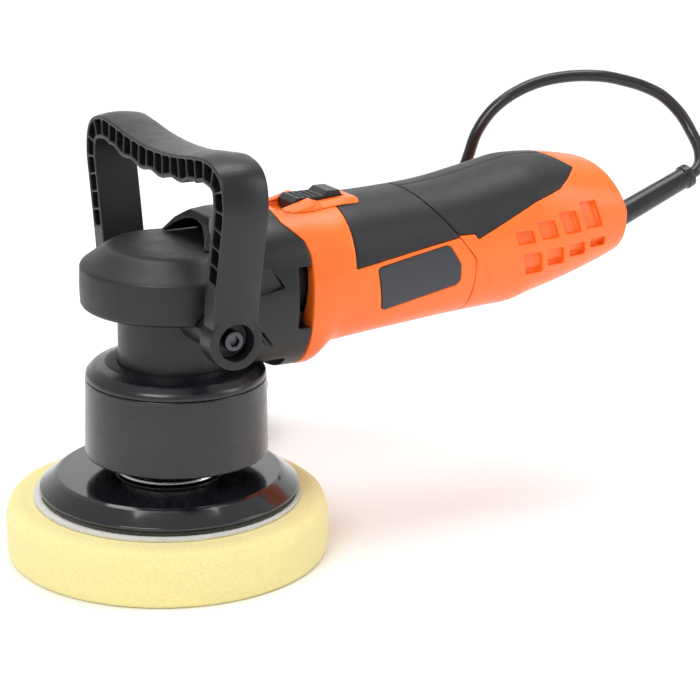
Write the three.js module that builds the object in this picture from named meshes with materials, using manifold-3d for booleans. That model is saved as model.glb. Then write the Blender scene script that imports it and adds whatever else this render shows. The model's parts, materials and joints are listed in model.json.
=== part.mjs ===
// Dual-action polisher: an electric car polisher whose foam pad orbits and turns freely.
// Millimetres, +Z up. The spindle turns about Z at x = 0, y = 0, the motor lies along +X,
// and the foam pad stands on the floor, z = 0.
import * as THREE from 'three';
import { mergeVertices } from 'three/addons/utils/BufferGeometryUtils.js';
import Module from 'manifold-3d';

const wasm = await Module();
wasm.setup();

// ---------------------------------------------------------------- driving dimensions
const GAP = 0.3;                 // between pieces that touch
const BIG = 400;                 // reach of cutting blocks
const ORBIT = 4;                 // spindle axis to pad axis
const PAD_X = -ORBIT;            // pad axis
const FOAM_X = PAD_X - 1;        // the foam is stuck on 1 mm off centre
const FOAM_R = 77.6;
const FOAM_TOP = 27.4;
const LOOP_R = 64.4;
const PLATE_R = 62.5;
const PLATE_TOP_R = 54;
const PLATE_BOTTOM = 30.9;
const PLATE_TOP = 39.5;
const HUB_R = 23;                // eccentric hub
const HUB_BOTTOM = 43.2;
const SHROUD_R = 44;
const SHROUD_BOTTOM = 49;
const SHROUD_SEAM = 86.5;
const SHROUD_TOP = 94;
const NECK_R = 27.4;
const HEAD_BOTTOM = 122;
const HEAD_TOP = 151.2;
const HEAD_R = 44.6;
const HEAD_REAR = 24;            // head cover to adapter housing
const AXIS_Z = 131.5;            // motor axis
const COLLAR_X = 55;             // adapter housing to motor housing
const GRIP_X = 79;               // front of the soft grip
const SEAM_X = 147;              // motor housing to rear shells, below SEAM_Z
const SEAM_Z = 134;
const SEAM_LEAN = 0.8;           // the joint leans forward above SEAM_Z
const REAR_X = 241;
const WALL = 2.6;                // housing walls
const SKIN = 1.2;                // soft grip thickness
const BORE_R = 28.8;             // stator seat
const FLANGE_R = 29.2;           // front bearing flange
const HANDLE_FOOT_Y = 61;        // middle of the handle's arm at its foot
const HANDLE_WIDE_Y = 70.8;      // middle of the arm at its widest
const HANDLE_TOP = 203;
const HANDLE_T = 11.2;           // thickness of arms and bar
const HANDLE_X0 = -12;
const HANDLE_X1 = 10;
const BOLT_X = -1;               // handle bolts
const BOLT_Z = 120;
const EXIT_Z = 129.4;            // cord exit in the rear face
const EXIT_TILT = 0.375;         // the strain relief rises by this angle, radians
const EXIT_R = 6.6;              // hole for it
const RELIEF_LENGTH = 70;
const DIAL_X = 230;              // speed dial, axis along Z
const DIAL_R = 12;
const DIAL_Z = 151;
const CORD_D = 6.4;
const COIL_AT = [63, 137];       // centre of the coil on the floor
const COIL_R = 35;               // middle of its turns
const COIL_LAYERS = 3;           // turns across and turns high
const COIL_FOOT = 1.5;           // thickness of the tie under it
const SIDES = 32;                // round parts

// Body outline by stations: x, half width, top, bottom
const BODY = [
  [-10, 31, 152, 96],
  [9, 34.5, 160, 92],
  [30, 36, 163, 87],
  [COLLAR_X, 36, 164, 86],
  [62.5, 36, 164.2, 86.3],
  [72, 35.6, 164.6, 94.3],
  [GRIP_X, 35.4, 165.2, 95.3],
  [113, 34.5, 166.3, 98],
  [140, 34.5, 168.2, 100],
  [166, 35, 172.6, 101.3],
  [178, 35.3, 175, 101.9],
  [188, 35.5, 176.4, 104.8],
  [208, 34.8, 175.6, 109.9],
  [230, 32.4, 172, 116.5],
  [REAR_X, 31, 169, 120.8],
];
const SQUARE = 2.35;             // 2 is an ellipse, higher is squarer

// ---------------------------------------------------------------- materials
const tone = (color, roughness, metalness = 0) =>
  new THREE.MeshStandardMaterial({ color, roughness, metalness });
const ORANGE = () => tone(0xff8a3c, 0.42);
const BLACK = () => tone(0x2b2d32, 0.55);
const RUBBER = () => tone(0x26282c, 0.8);
const FOAM = () => tone(0xe8dc96, 0.95);
const STEEL = () => tone(0xb9bcc2, 0.3, 1);
const ALLOY = () => tone(0x9a9da3, 0.45, 1);
const COPPER = () => tone(0xb5622e, 0.4, 1);

// ---------------------------------------------------------------- solids
function solidOf(geometry) {
  const bare = geometry.index ? geometry.toNonIndexed() : geometry.clone();
  bare.deleteAttribute('normal');
  bare.deleteAttribute('uv');
  const merged = mergeVertices(bare, 1e-4);
  const place = merged.attributes.position.array;
  const faces = [];
  for (let i = 0; i < merged.index.count; i += 3) {
    const [a, b, c] = [0, 1, 2].map((k) => merged.index.getX(i + k));
    if (a !== b && b !== c && a !== c) faces.push([a, b, c]);
  }
  const corner = (k) => new THREE.Vector3().fromArray(place, 3 * k);
  let volume = 0;
  for (const [a, b, c] of faces) volume += corner(a).dot(corner(b).cross(corner(c)));
  const triVerts = Uint32Array.from((volume < 0 ? faces.map((f) => f.reverse()) : faces).flat());
  return new wasm.Manifold(new wasm.Mesh({
    numProp: 3, vertProperties: Float32Array.from(place), triVerts,
  }));
}

function geometryOf(solid) {
  const { vertProperties, triVerts } = solid.getMesh();
  const geometry = new THREE.BufferGeometry();
  geometry.setAttribute('position', new THREE.BufferAttribute(vertProperties, 3));
  geometry.setIndex(new THREE.BufferAttribute(triVerts, 1));
  geometry.computeVertexNormals();
  return geometry;
}

const union = (...solids) => solids.reduce((a, b) => a.add(b));
const cut = (body, ...tools) => tools.reduce((a, b) => a.subtract(b), body);

// Turned about Z. The profile is a closed run of [radius, z].
function turned(profile, x = 0, y = 0, sides = SIDES) {
  const points = [...profile, profile[0]].map(([r, z]) => new THREE.Vector2(r, z));
  const geometry = new THREE.LatheGeometry(points, sides);
  geometry.rotateX(Math.PI / 2);
  geometry.translate(x, y, 0);
  return solidOf(geometry);
}

// Turned about the motor axis, X. The profile is a closed run of [radius, x].
function turnedX(profile, sides = SIDES, z = AXIS_Z) {
  const points = [...profile, profile[0]].map(([r, x]) => new THREE.Vector2(r, x));
  const geometry = new THREE.LatheGeometry(points, sides);
  geometry.rotateZ(-Math.PI / 2);
  geometry.translate(0, 0, z);
  return solidOf(geometry);
}

// Turned about the strain relief's axis. The profile is a closed run of [radius, distance out].
function turnedOut(profile, sides = 20) {
  const points = [...profile, profile[0]].map(([r, x]) => new THREE.Vector2(r, x));
  const geometry = new THREE.LatheGeometry(points, sides);
  geometry.rotateZ(-Math.PI / 2);
  geometry.rotateY(-EXIT_TILT);
  geometry.translate(REAR_X, 0, EXIT_Z);
  return solidOf(geometry);
}

const disc = (r, z0, z1) => [[0, z0], [r, z0], [r, z1], [0, z1]];
const ring = (r0, r1, z0, z1) => [[r0, z0], [r1, z0], [r1, z1], [r0, z1]];

function rodY(r, x, z, y0, y1, sides = 24) {
  const geometry = new THREE.CylinderGeometry(r, r, Math.abs(y1 - y0), sides);
  geometry.translate(x, (y0 + y1) / 2, z);
  return solidOf(geometry);
}

function block(x0, x1, y0, y1, z0, z1) {
  const geometry = new THREE.BoxGeometry(x1 - x0, y1 - y0, z1 - z0);
  geometry.translate((x0 + x1) / 2, (y0 + y1) / 2, (z0 + z1) / 2);
  return solidOf(geometry);
}

// A flat outline of [x, z] drawn in side view and run from y0 to y1.
function sideways(outline, y0 = -BIG, y1 = BIG) {
  const shape = new THREE.Shape(outline.map(([x, z]) => new THREE.Vector2(x, z)));
  const geometry = new THREE.ExtrudeGeometry(shape, { depth: y1 - y0, bevelEnabled: false });
  geometry.rotateX(Math.PI / 2);
  geometry.translate(0, y1, 0);
  return solidOf(geometry);
}

// A flat outline of [y, z] drawn in front view and run from x0 to x1.
function endways(outline, x0, x1) {
  const shape = new THREE.Shape(outline.map(([y, z]) => new THREE.Vector2(y, z)));
  const geometry = new THREE.ExtrudeGeometry(shape, { depth: x1 - x0, bevelEnabled: false });
  geometry.rotateX(Math.PI / 2);
  geometry.rotateZ(Math.PI / 2);
  geometry.translate(x0, 0, 0);
  return solidOf(geometry);
}

// Skin through rings of points, closed by a fan at each end.
function loft(rings) {
  const n = rings[0].length;
  const place = rings.flat();
  const faces = [];
  for (let i = 0; i + 1 < rings.length; i += 1) {
    for (let j = 0; j < n; j += 1) {
      const [a, b] = [i * n + j, i * n + ((j + 1) % n)];
      faces.push(a, b, b + n, a, b + n, a + n);
    }
  }
  const middle = (points) => points.reduce((s, p) => s.add(p), new THREE.Vector3())
    .divideScalar(points.length);
  const last = (rings.length - 1) * n;
  place.push(middle(rings[0]), middle(rings[rings.length - 1]));
  for (let j = 0; j < n; j += 1) {
    const k = (j + 1) % n;
    faces.push(k, j, place.length - 2, last + j, last + k, place.length - 1);
  }
  const geometry = new THREE.BufferGeometry().setFromPoints(place);
  geometry.setIndex(faces);
  return solidOf(geometry);
}

// Smooth value of each column of a table at x.
function sample(table, x) {
  let i = table.findIndex((row) => row[0] > x) - 1;
  if (i < 0) i = x < table[0][0] ? 0 : table.length - 2;
  const rows = [-1, 0, 1, 2].map((k) => table[Math.min(Math.max(i + k, 0), table.length - 1)]);
  const t = (x - rows[1][0]) / (rows[2][0] - rows[1][0]);
  return rows[1].slice(1).map((_, c) => {
    const [p0, p1, p2, p3] = rows.map((row) => row[c + 1]);
    const span = rows[2][0] - rows[1][0];
    const m1 = ((p2 - p0) / (rows[2][0] - rows[0][0])) * span;
    const m2 = ((p3 - p1) / (rows[3][0] - rows[1][0])) * span;
    const a = 2 * t ** 3 - 3 * t ** 2 + 1;
    const b = t ** 3 - 2 * t ** 2 + t;
    return a * p1 + b * m1 + (1 - a) * p2 + (t ** 3 - t ** 2) * m2;
  });
}

// The body's outside, grown by `grow`, between two stations.
function bodyForm(x0, x1, grow = 0, sides = 36, step = 12) {
  const count = Math.max(1, Math.round((x1 - x0) / step));
  const rings = [];
  for (let i = 0; i <= count; i += 1) {
    const x = x0 + ((x1 - x0) * i) / count;
    const [half, top, bottom] = sample(BODY, x);
    const [z, h] = [(top + bottom) / 2, (top - bottom) / 2 + grow];
    const ringPoints = [];
    for (let j = 0; j < sides; j += 1) {
      const angle = (2 * Math.PI * j) / sides;
      const [c, s] = [Math.cos(angle), Math.sin(angle)];
      ringPoints.push(new THREE.Vector3(
        x,
        (half + grow) * Math.sign(c) * Math.abs(c) ** (2 / SQUARE),
        z + h * Math.sign(s) * Math.abs(s) ** (2 / SQUARE),
      ));
    }
    rings.push(ringPoints);
  }
  return loft(rings);
}

const group = new THREE.Group();
function part(name, solid, material) {
  const mesh = new THREE.Mesh(geometryOf(solid), material);
  mesh.name = name;
  group.add(mesh);
}

// ---------------------------------------------------------------- pad
function makePad() {
  part('foam_pad', turned([
    [0, 0], [76, 0], [77.2, 1.1], [FOAM_R, 3], [FOAM_R, 22.6], [76.7, 25.2], [74.6, 26.8],
    [71.5, FOAM_TOP], [0, FOAM_TOP],
  ], FOAM_X), FOAM());
  const loopTop = FOAM_TOP + GAP + 1.3;
  part('loop_layer', turned(disc(LOOP_R, FOAM_TOP + GAP, loopTop), FOAM_X), tone(0xeee8dc, 0.95));
  part('hook_layer', turned(disc(PLATE_R - 0.8, loopTop + GAP, PLATE_BOTTOM - GAP), PAD_X), RUBBER());
  part('backing_plate', turned([
    [0, PLATE_BOTTOM], [PLATE_R - 1, PLATE_BOTTOM], [PLATE_R, PLATE_BOTTOM + 1.2],
    [PLATE_TOP_R + 0.8, PLATE_TOP - 0.4], [PLATE_TOP_R, PLATE_TOP],
    [12.3, PLATE_TOP], [12.3, 35.2], [0, 35.2],
  ], PAD_X), tone(0x17181b, 0.18));
  part('plate_hub', turned([
    [0, 35.5], [12, 35.5], [12, PLATE_TOP + GAP], [25, PLATE_TOP + GAP], [26, 40.6], [25.4, 41.7],
    [9.5, 41.7], [9.5, 42.6], [4, 42.6], [4, 52], [0, 52],
  ], PAD_X, 0, 32), STEEL());
  part('pad_shaft', turned([
    [4.3, 42.9], [11, 42.9], [11, 45.5], [7.4, 45.5], [7.4, 68.5], [0, 68.5], [0, 53], [4.3, 53],
  ], PAD_X, 0, 16), STEEL());
  const nut = cut(turned(disc(11.6, 64.2, 67.5), PAD_X, 0, 6), turned(disc(7.8, 60, 70), PAD_X, 0, 16));
  part('pad_shaft_nut', nut, STEEL());
}

// ---------------------------------------------------------------- eccentric drive
function makeDrive() {
  part('pad_bearing', turned(ring(7.7, 16, 45.8, 63.8), PAD_X, 0, 20), STEEL());
  const hub = union(
    turned(disc(HUB_R, HUB_BOTTOM, 72), PAD_X),
    turned(disc(13.5, 70, 84), 0, 0, 20),
  );
  part('eccentric_hub', cut(
    hub,
    turned(disc(16.3, HUB_BOTTOM - 1, 64.1), PAD_X, 0, 20),
    turned(disc(12.5, 60, 69.2), PAD_X, 0, 20),
    turned(disc(8.3, 72.2, 90), 0, 0, 16),
  ), ALLOY());
  const weight = cut(
    turned(disc(37, 72.3, 83)),
    turned(disc(13.8, 60, 100), 0, 0, 20),
    block(-BIG, 5, -BIG, BIG, 0, BIG),
  );
  part('counterweight', weight, STEEL());
  part('spindle', turned([
    [0, 72.5], [8, 72.5], [8, 84.3], [12, 84.3], [12, 87], [8.5, 87], [8.5, 111.4], [7, 111.4],
    [7, 124], [5, 124], [5, 143.4], [0, 143.4],
  ], 0, 0, 16), STEEL());
  const gear = turned([
    [7.3, 111.8], [22.5, 111.8], [24, 117], [13, 120.6], [13, 123], [7.3, 123],
  ], 0, 0, 37);
  part('ring_gear', gear, STEEL());
}

// ---------------------------------------------------------------- gear head
function makeHead() {
  part('lower_spindle_bearing', turned(ring(8.8, 20, 98, 110), 0, 0, 20), STEEL());
  part('upper_spindle_bearing', turned(ring(5.3, 7.6, 135.5, 143.5), 0, 0, 20), STEEL());
  part('bearing_retainer', turned(ring(13, 25, 89, 91.6), 0, 0, 20), STEEL());
  const lugs = [-1, 1].map((s) => rodY(9, BOLT_X, BOLT_Z, s * 24, s * (HANDLE_FOOT_Y - 6.9)));
  const shell = union(
    turned(disc(NECK_R, SHROUD_TOP - 2, 124)),
    union(turned(disc(40.6, HEAD_BOTTOM + 0.5, 140)), turned(disc(33, 139, 146)))
      .intersect(block(-BIG, 24.7, -BIG, BIG, 0, BIG)),
    turnedX([[0, 0], [FLANGE_R, 0], [FLANGE_R, 24.7], [0, 24.7]], 24)
      .intersect(block(0, BIG, -BIG, BIG, 0, 146)),
    ...lugs,
  );
  part('gear_case', cut(
    union(cut(
      shell,
      turned(disc(20.3, 80, 111), 0, 0, 20),
      turned(disc(25.5, 110.3, 142.6)),
      turnedX([[0, 2], [16.3, 2], [16.3, 40], [0, 40]], 20),
      ...[-1, 1].map((s) => rodY(3.3, BOLT_X, BOLT_Z, s * 30, s * 60, 16)),
    ), turned(disc(12, 138.8, 145.5), 0, 0, 20)),
    turned(disc(7.9, 130, 143.8), 0, 0, 20),
    turnedX(disc(FLANGE_R + GAP, 25, 60), 24),
  ), BLACK());
}

function planRing(z, r, rear = HEAD_REAR + 3, sides = 40) {
  const points = [];
  for (let i = 0; i <= sides / 2; i += 1) {
    const angle = Math.PI / 2 + (Math.PI * i) / (sides / 2);
    points.push(new THREE.Vector3(r * Math.cos(angle), r * Math.sin(angle), z));
  }
  points.push(new THREE.Vector3(rear, -r * 0.9, z), new THREE.Vector3(rear, r * 0.9, z));
  return points;
}

function headForm(shrink) {
  const low = shrink ? -5 : 0;
  return loft([
    planRing(HEAD_BOTTOM + low, HEAD_R - 1.4 - shrink),
    planRing(HEAD_BOTTOM + 1.6, HEAD_R - shrink),
    planRing(141.5, HEAD_R - shrink),
    planRing(142.8, HEAD_R - 1.4 - shrink),
    planRing(149.4, HEAD_R - 10.5 - shrink),
    planRing(150.6, HEAD_R - 14 - shrink),
    planRing(HEAD_TOP, HEAD_R - 24 - shrink),
  ]);
}

function makeHeadCover() {
  part('head_cover', cut(
    headForm(0),
    turned(disc(NECK_R + GAP, 80, 130)),
    turned(disc(40.9, 100, 140.3)),
    turned(disc(33.4, 120, 146.3)),
    block(HEAD_REAR - GAP, BIG, -BIG, BIG, 0, BIG),
    block(0, BIG, -30.5, 30.5, 90, 146.3),
    ...[-1, 1].map((s) => rodY(9.3, BOLT_X, BOLT_Z, s * 20, s * 60)),
  ), RUBBER());
}

function makeShroud() {
  part('shroud_skirt', turned([
    [SHROUD_R - 2.4, SHROUD_BOTTOM], [SHROUD_R, SHROUD_BOTTOM],
    [SHROUD_R - 0.8, SHROUD_SEAM - GAP], [SHROUD_R - 3.2, SHROUD_SEAM - GAP],
  ]), BLACK());
  part('shroud_cap', turned([
    [NECK_R + GAP, SHROUD_TOP - 3], [NECK_R + GAP, SHROUD_TOP], [33, SHROUD_TOP],
    [38, 93.1], [41.6, 90.6], [SHROUD_R - 0.9, SHROUD_SEAM], [SHROUD_R - 3.4, SHROUD_SEAM],
    [39, 89.6], [36.4, SHROUD_TOP - 3],
  ]), BLACK());
}

// ---------------------------------------------------------------- handle
// Middle line of the handle's bow in front view, from one foot to the other.
function handleLine() {
  const at = (y, z) => new THREE.Vector3(y, z, 0);
  const top = HANDLE_TOP - HANDLE_T / 2;
  const half = [
    [HANDLE_FOOT_Y - 0.5, BOLT_Z - 2], [HANDLE_FOOT_Y, BOLT_Z + 12], [HANDLE_FOOT_Y + 3.2, 150],
    [HANDLE_WIDE_Y - 3, 167], [HANDLE_WIDE_Y, top - 14], [HANDLE_WIDE_Y - 2.8, top - 4.2],
    [HANDLE_WIDE_Y - 13, top - 0.6], [HANDLE_WIDE_Y - 27, top - 1.6], [24, top - 4.2],
  ];
  const points = [
    ...half.map(([y, z]) => at(y, z)), at(0, top - 5.4),
    ...half.reverse().map(([y, z]) => at(-y, z)),
  ];
  return new THREE.CatmullRomCurve3(points, false, 'centripetal');
}

// The bow's outline between two shares of its length, `rim` inside its surface. The inside
// of the bar has four low finger bumps.
function handleOutline(curve, from, to, steps, rim) {
  const [outer, inner] = [[], []];
  for (let i = 0; i <= steps; i += 1) {
    const p = curve.getPointAt(from + ((to - from) * i) / steps);
    const t = curve.getTangentAt(from + ((to - from) * i) / steps);
    const bump = Math.abs(p.x) < 48 ? 0.8 - 0.8 * Math.cos((2 * Math.PI * p.x) / 21) : 0;
    const out = HANDLE_T / 2 - rim;
    outer.push([p.x + t.y * out, p.y - t.x * out]);
    inner.push([p.x - t.y * (out + bump), p.y + t.x * (out + bump)]);
  }
  return [...outer, ...inner.reverse()];
}

const HANDLE_CELLS = 27;
const CELL_ENDS = [0.1, 0.9];    // shares of the bow's length
const CELL_FLOOR = 4;            // the cells are open at the front and stop at this x
function makeHandle() {
  const curve = handleLine();
  const bow = endways(handleOutline(curve, 0, 1, 64, 0), HANDLE_X0, HANDLE_X1);
  const foot = HANDLE_FOOT_Y + HANDLE_T / 2;
  const feet = [-1, 1].map((s) => rodY(12.9, BOLT_X, BOLT_Z, s * (foot - 12), s * foot, 28));
  const side = block(HANDLE_X0, HANDLE_X1, -BIG, BIG, BOLT_Z, BIG);
  const pitch = (CELL_ENDS[1] - CELL_ENDS[0]) / HANDLE_CELLS;
  const cells = [];
  for (let i = 0; i < HANDLE_CELLS; i += 1) {
    const from = CELL_ENDS[0] + i * pitch;
    cells.push(endways(handleOutline(curve, from, from + 0.87 * pitch, 1, 2), HANDLE_X0 - 1, CELL_FLOOR));
  }
  part('d_handle', cut(
    union(bow.intersect(side), ...feet),
    ...cells,
    ...[-1, 1].map((s) => rodY(8.6, BOLT_X, BOLT_Z, s * (foot - 8), s * (foot + 6))),
    ...[-1, 1].map((s) => rodY(3.4, BOLT_X, BOLT_Z, s * 40, s * foot, 16)),
  ), BLACK());
  for (const [name, s] of [['handle_screw_right', -1], ['handle_screw_left', 1]]) {
    const hex = new THREE.CylinderGeometry(2.6, 2.6, 3.2, 6);
    hex.translate(BOLT_X, s * (foot - 2.8), BOLT_Z);
    part(name, cut(
      union(
        rodY(4.7, BOLT_X, BOLT_Z, s * (foot - 7.7), s * (foot - 2.4), 20),
        rodY(3, BOLT_X, BOLT_Z, s * 34, s * (foot - 7), 16),
      ),
      solidOf(hex),
    ), STEEL());
  }
}

// ---------------------------------------------------------------- motor
function makeArmature() {
  part('armature_shaft', turnedX([
    [0, 23], [5.8, 23], [5.8, 38], [4.8, 38], [4.8, 134], [3.9, 134], [3.9, 146], [0, 146],
  ], 20), STEEL());
  part('pinion', turnedX([[0, 8], [5, 8], [7.6, 22.7], [0, 22.7]], 18), STEEL());
  part('fan', turnedX([
    [5.1, 44], [9, 44], [9, 47], [27, 49], [27, 56.5], [25, 56.5], [9, 51], [9, 56], [5.1, 56],
  ], 28), tone(0x3a3d42, 0.5));
  part('rotor_core', turnedX(ring(5.1, 18.5, 66, 106), 20), STEEL());
  for (const [name, x] of [['rotor_winding_front', 58.3], ['rotor_winding_rear', 106.3]]) {
    part(name, turnedX([
      [5.1, x], [13, x], [16.5, x + 3], [16.5, x + 7.4], [5.1, x + 7.4],
    ], 18), COPPER());
  }
  part('commutator', turnedX(ring(5.1, 12.5, 116, 132), 18), COPPER());
}

function makeMotor() {
  part('front_armature_bearing', turnedX(ring(6.1, 16, 27, 37), 20), STEEL());
  part('bearing_flange', turnedX([
    [16.3, 25.3], [FLANGE_R, 25.3], [FLANGE_R, 31], [21, 33], [21, 39.5], [12, 39.5], [12, 37.3],
    [16.3, 37.3],
  ], 24), ALLOY());
  part('rear_armature_bearing', turnedX(ring(4.2, 11, 136.5, 143.5), 24), STEEL());
  part('rear_bearing_plate', turnedX([
    [11.3, 136.5], [27.6, 136.5], [27.6, 141], [14, 141], [14, 146.4], [5, 146.4], [5, 143.8],
    [11.3, 143.8],
  ], 24), BLACK());
  const stator = turnedX(ring(19.1, BORE_R - 0.5, 64, 108), 28);
  const windows = turnedX(ring(21, 26, 63, 109), 28);
  const sector = (s, side) => sideways([[40, AXIS_Z], [130, AXIS_Z], [130, AXIS_Z + s * 40],
    [40, AXIS_Z + s * 40]], -side, side);
  part('stator_core', cut(
    stator,
    windows.intersect(sector(1, 15)),
    windows.intersect(sector(-1, 15)),
  ), STEEL());
  for (const [name, s] of [['field_coil_upper', 1], ['field_coil_lower', -1]]) {
    const coil = turnedX(ring(21.3, 25.7, 60, 112), 28);
    part(name, coil.intersect(sector(s, 14.5)), COPPER());
  }
  for (const [side, s] of [['right', -1], ['left', 1]]) {
    const [y0, y1] = [s * 13.6, s * 28].sort((a, b) => a - b);
    part(`brush_holder_${side}`, cut(
      block(118.5, 129.5, y0, y1, AXIS_Z - 6, AXIS_Z + 6),
      block(120.5, 127.5, y0 - 3, y1 + 3, AXIS_Z - 4, AXIS_Z + 4),
    ), tone(0xc8a050, 0.4, 1));
    const [b0, b1] = [s * 12.9, s * 25].sort((a, b) => a - b);
    part(`carbon_brush_${side}`, block(120.8, 127.2, b0, b1, AXIS_Z - 3.7, AXIS_Z + 3.7),
      tone(0x1c1c1e, 0.7));
  }
}

// ---------------------------------------------------------------- housings
const TAIL_X = 207;              // the tail grip ends in two horns round a bite
const TAIL_BITE_R = 30.4;

// Side-view outlines that divide the body: everything in front of an edge.
const beforeCollar = (shift) => sideways([
  [-BIG, -BIG], [COLLAR_X + shift, -BIG], [COLLAR_X + shift, 146], [COLLAR_X - 1.5 + shift, 152],
  [COLLAR_X - 9 + shift, 159.5], [COLLAR_X - 10 + shift, 180], [COLLAR_X - 10 + shift, BIG],
  [-BIG, BIG],
]);
const beforeSeam = (shift) => sideways([
  [-BIG, -BIG], [SEAM_X + shift, -BIG], [SEAM_X + shift, SEAM_Z],
  [SEAM_X + shift - SEAM_LEAN * 60, SEAM_Z + 60], [-BIG, SEAM_Z + 60],
]);
const aboveGrip = (shift) => sideways([
  [GRIP_X + shift, 137 + shift], [150, 147.5 + shift], [150, BIG], [GRIP_X + shift, BIG],
]);
const aboveTail = (shift) => cut(
  sideways([
    [100, 146.6 + shift], [146.4, 146.6 + shift], [148.2, 143.8 + shift], [184, 159 + shift],
    [199, 163.4 + shift], [209.6, 169.2 + shift], [214.5 - shift, 171.3 + shift],
    [214.5 - shift, BIG], [100, BIG],
  ]),
  turned(disc(TAIL_BITE_R + shift, 0, BIG), TAIL_X + TAIL_BITE_R),
);
const beforeEnd = (shift) => sideways([
  [-BIG, -BIG], [REAR_X + 1, -BIG], [REAR_X + shift, 120], [REAR_X + shift, 148],
  [REAR_X - 7 + shift, 166], [REAR_X - 12 + shift, 176], [REAR_X - 12 + shift, BIG], [-BIG, BIG],
]);

// Switch recess in the top of the motor housing, and the label plate's outline
const SWITCH_X0 = 50;
const SWITCH_X1 = 87;
const switchSlot = (grow) => block(
  SWITCH_X0 - grow, SWITCH_X1 + grow, -8 - grow, 8 + grow, 160.9 - grow, BIG,
);
const LABEL = [
  [91, 134.6], [92.3, 136], [129.5, 142.3], [132, 141.5], [137.8, 132.3], [138.2, 124.6],
  [136.2, 122.2], [96.2, 114.2], [94.4, 115.2],
];
const LABEL_MIDDLE = [115, 129];
const badgeForm = (grow) => sideways(LABEL.map(([x, z]) => [
  x + grow * Math.sign(x - LABEL_MIDDLE[0]), z + grow * Math.sign(z - LABEL_MIDDLE[1]),
]));

function makeHousings() {
  const cavity = turnedX([[0, 22], [BORE_R, 22], [BORE_R, 170], [0, 170]], 40);
  const adapterFront = sideways([
    [HEAD_REAR, BIG], [HEAD_REAR, HEAD_BOTTOM - GAP], [-7, HEAD_BOTTOM - GAP], [10, 98.5],
    [13, SHROUD_TOP + 1.2], [44.8, SHROUD_TOP + 1.2], [46.5, 80], [BIG, 80], [BIG, BIG],
  ]);
  const slots = [-1, 1].map((s) => block(
    COLLAR_X - 7.5, COLLAR_X + 5, Math.min(s * 26, s * 60), Math.max(s * 26, s * 60), 111.5, 141,
  ));
  const hump = sideways([
    [4, HEAD_TOP + GAP], [7.5, 157], [10.5, 161.5], [13, 163.8], [20, 165.2], [36, 165],
    [COLLAR_X, 163.4], [COLLAR_X, 150], [HEAD_REAR, 150], [HEAD_REAR, HEAD_TOP + GAP],
  ]).intersect(endways([
    [-26, 150], [-19, 158.5], [-8, 165.4], [8, 165.4], [19, 158.5], [26, 150],
  ], 0, COLLAR_X));
  part('adapter_housing', cut(
    union(bodyForm(-9.9, COLLAR_X + 4, 0).intersect(adapterFront), hump)
      .intersect(beforeCollar(-GAP / 2)),
    turned(disc(NECK_R + GAP, 80, 130)),
    turned(disc(40.9, HEAD_BOTTOM, 146.3)),
    turnedX(disc(FLANGE_R + GAP, -20, 70), 28),
    ...[-1, 1].map((s) => rodY(9.3, BOLT_X, BOLT_Z, s * 20, s * 60)),
    ...slots,
  ), BLACK());

  const main = bodyForm(40, SEAM_X + 3);
  const skin = bodyForm(GRIP_X - 20, SEAM_X + 3, -SKIN - GAP);
  const grip = main.intersect(aboveGrip(0)).intersect(beforeSeam(-GAP / 2));
  const badgeFloor = bodyForm(80, SEAM_X + 3, -1.2);
  part('motor_housing', cut(
    main.intersect(beforeSeam(-GAP / 2)),
    beforeCollar(GAP / 2),
    aboveGrip(-GAP).subtract(skin),
    badgeForm(GAP).subtract(badgeFloor).intersect(block(0, BIG, -BIG, BIG, 0, BIG)),
    cavity,
    switchSlot(GAP),
  ), ORANGE());
  part('motor_grip', cut(
    grip, bodyForm(GRIP_X - 20, SEAM_X + 3, -SKIN), switchSlot(GAP),
  ), RUBBER());
  const plate = badgeForm(0).intersect(cut(bodyForm(80, SEAM_X + 2, 0.3), bodyForm(80, SEAM_X + 3, -0.9)));
  const half = (s) => block(0, BIG, s < 0 ? -BIG : 0, s < 0 ? 0 : BIG, 0, BIG);
  part('label_plate_right', plate.intersect(half(-1)), tone(0x34363b, 0.4));
  part('label_plate_left', plate.intersect(half(1)), tone(0x34363b, 0.4));

  const wingForm = loft([[47, 158], [52, 165.5], [66, 167.6], [84, 167.8], [91, 167.4], [95, 162]].map(
    ([x, z]) => [[-16, z - 8], [-14.5, z - 2.4], [-11.5, z], [11.5, z], [14.5, z - 2.4], [16, z - 8]]
      .map(([y, h]) => new THREE.Vector3(x, y, h)),
  ));
  part('switch_surround', cut(
    wingForm,
    bodyForm(40, 100, GAP),
    block(40, SWITCH_X0 + 6, -8, 8, 100, BIG),
    switchSlot(0),
  ), ORANGE());

  const rear = bodyForm(SEAM_X - 50, REAR_X).intersect(beforeEnd(0));
  const hollow = bodyForm(SEAM_X - 60, REAR_X - 3, -WALL).intersect(beforeEnd(-3));
  const tail = rear.intersect(aboveTail(0));
  const shell = cut(
    rear,
    beforeSeam(GAP / 2),
    hollow,
    aboveTail(-GAP).subtract(bodyForm(SEAM_X - 60, REAR_X, -SKIN - GAP)),
    turnedX([[0, 100], [BORE_R, 100], [BORE_R, 147], [0, 147]], 28),
    dialSlot(),
    turnedOut(disc(EXIT_R, -13, 12)),
    ...vents(),
  );
  const skinRear = cut(tail, beforeSeam(GAP / 2), bodyForm(SEAM_X - 60, REAR_X, -SKIN));
  for (const [side, s] of [['right', -1], ['left', 1]]) {
    const clip = block(0, BIG, s < 0 ? -BIG : GAP / 2, s < 0 ? -GAP / 2 : BIG, 0, BIG);
    part(`rear_shell_${side}`, shell.intersect(clip), ORANGE());
    part(`rear_grip_${side}`, skinRear.intersect(clip), RUBBER());
  }
}

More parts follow.
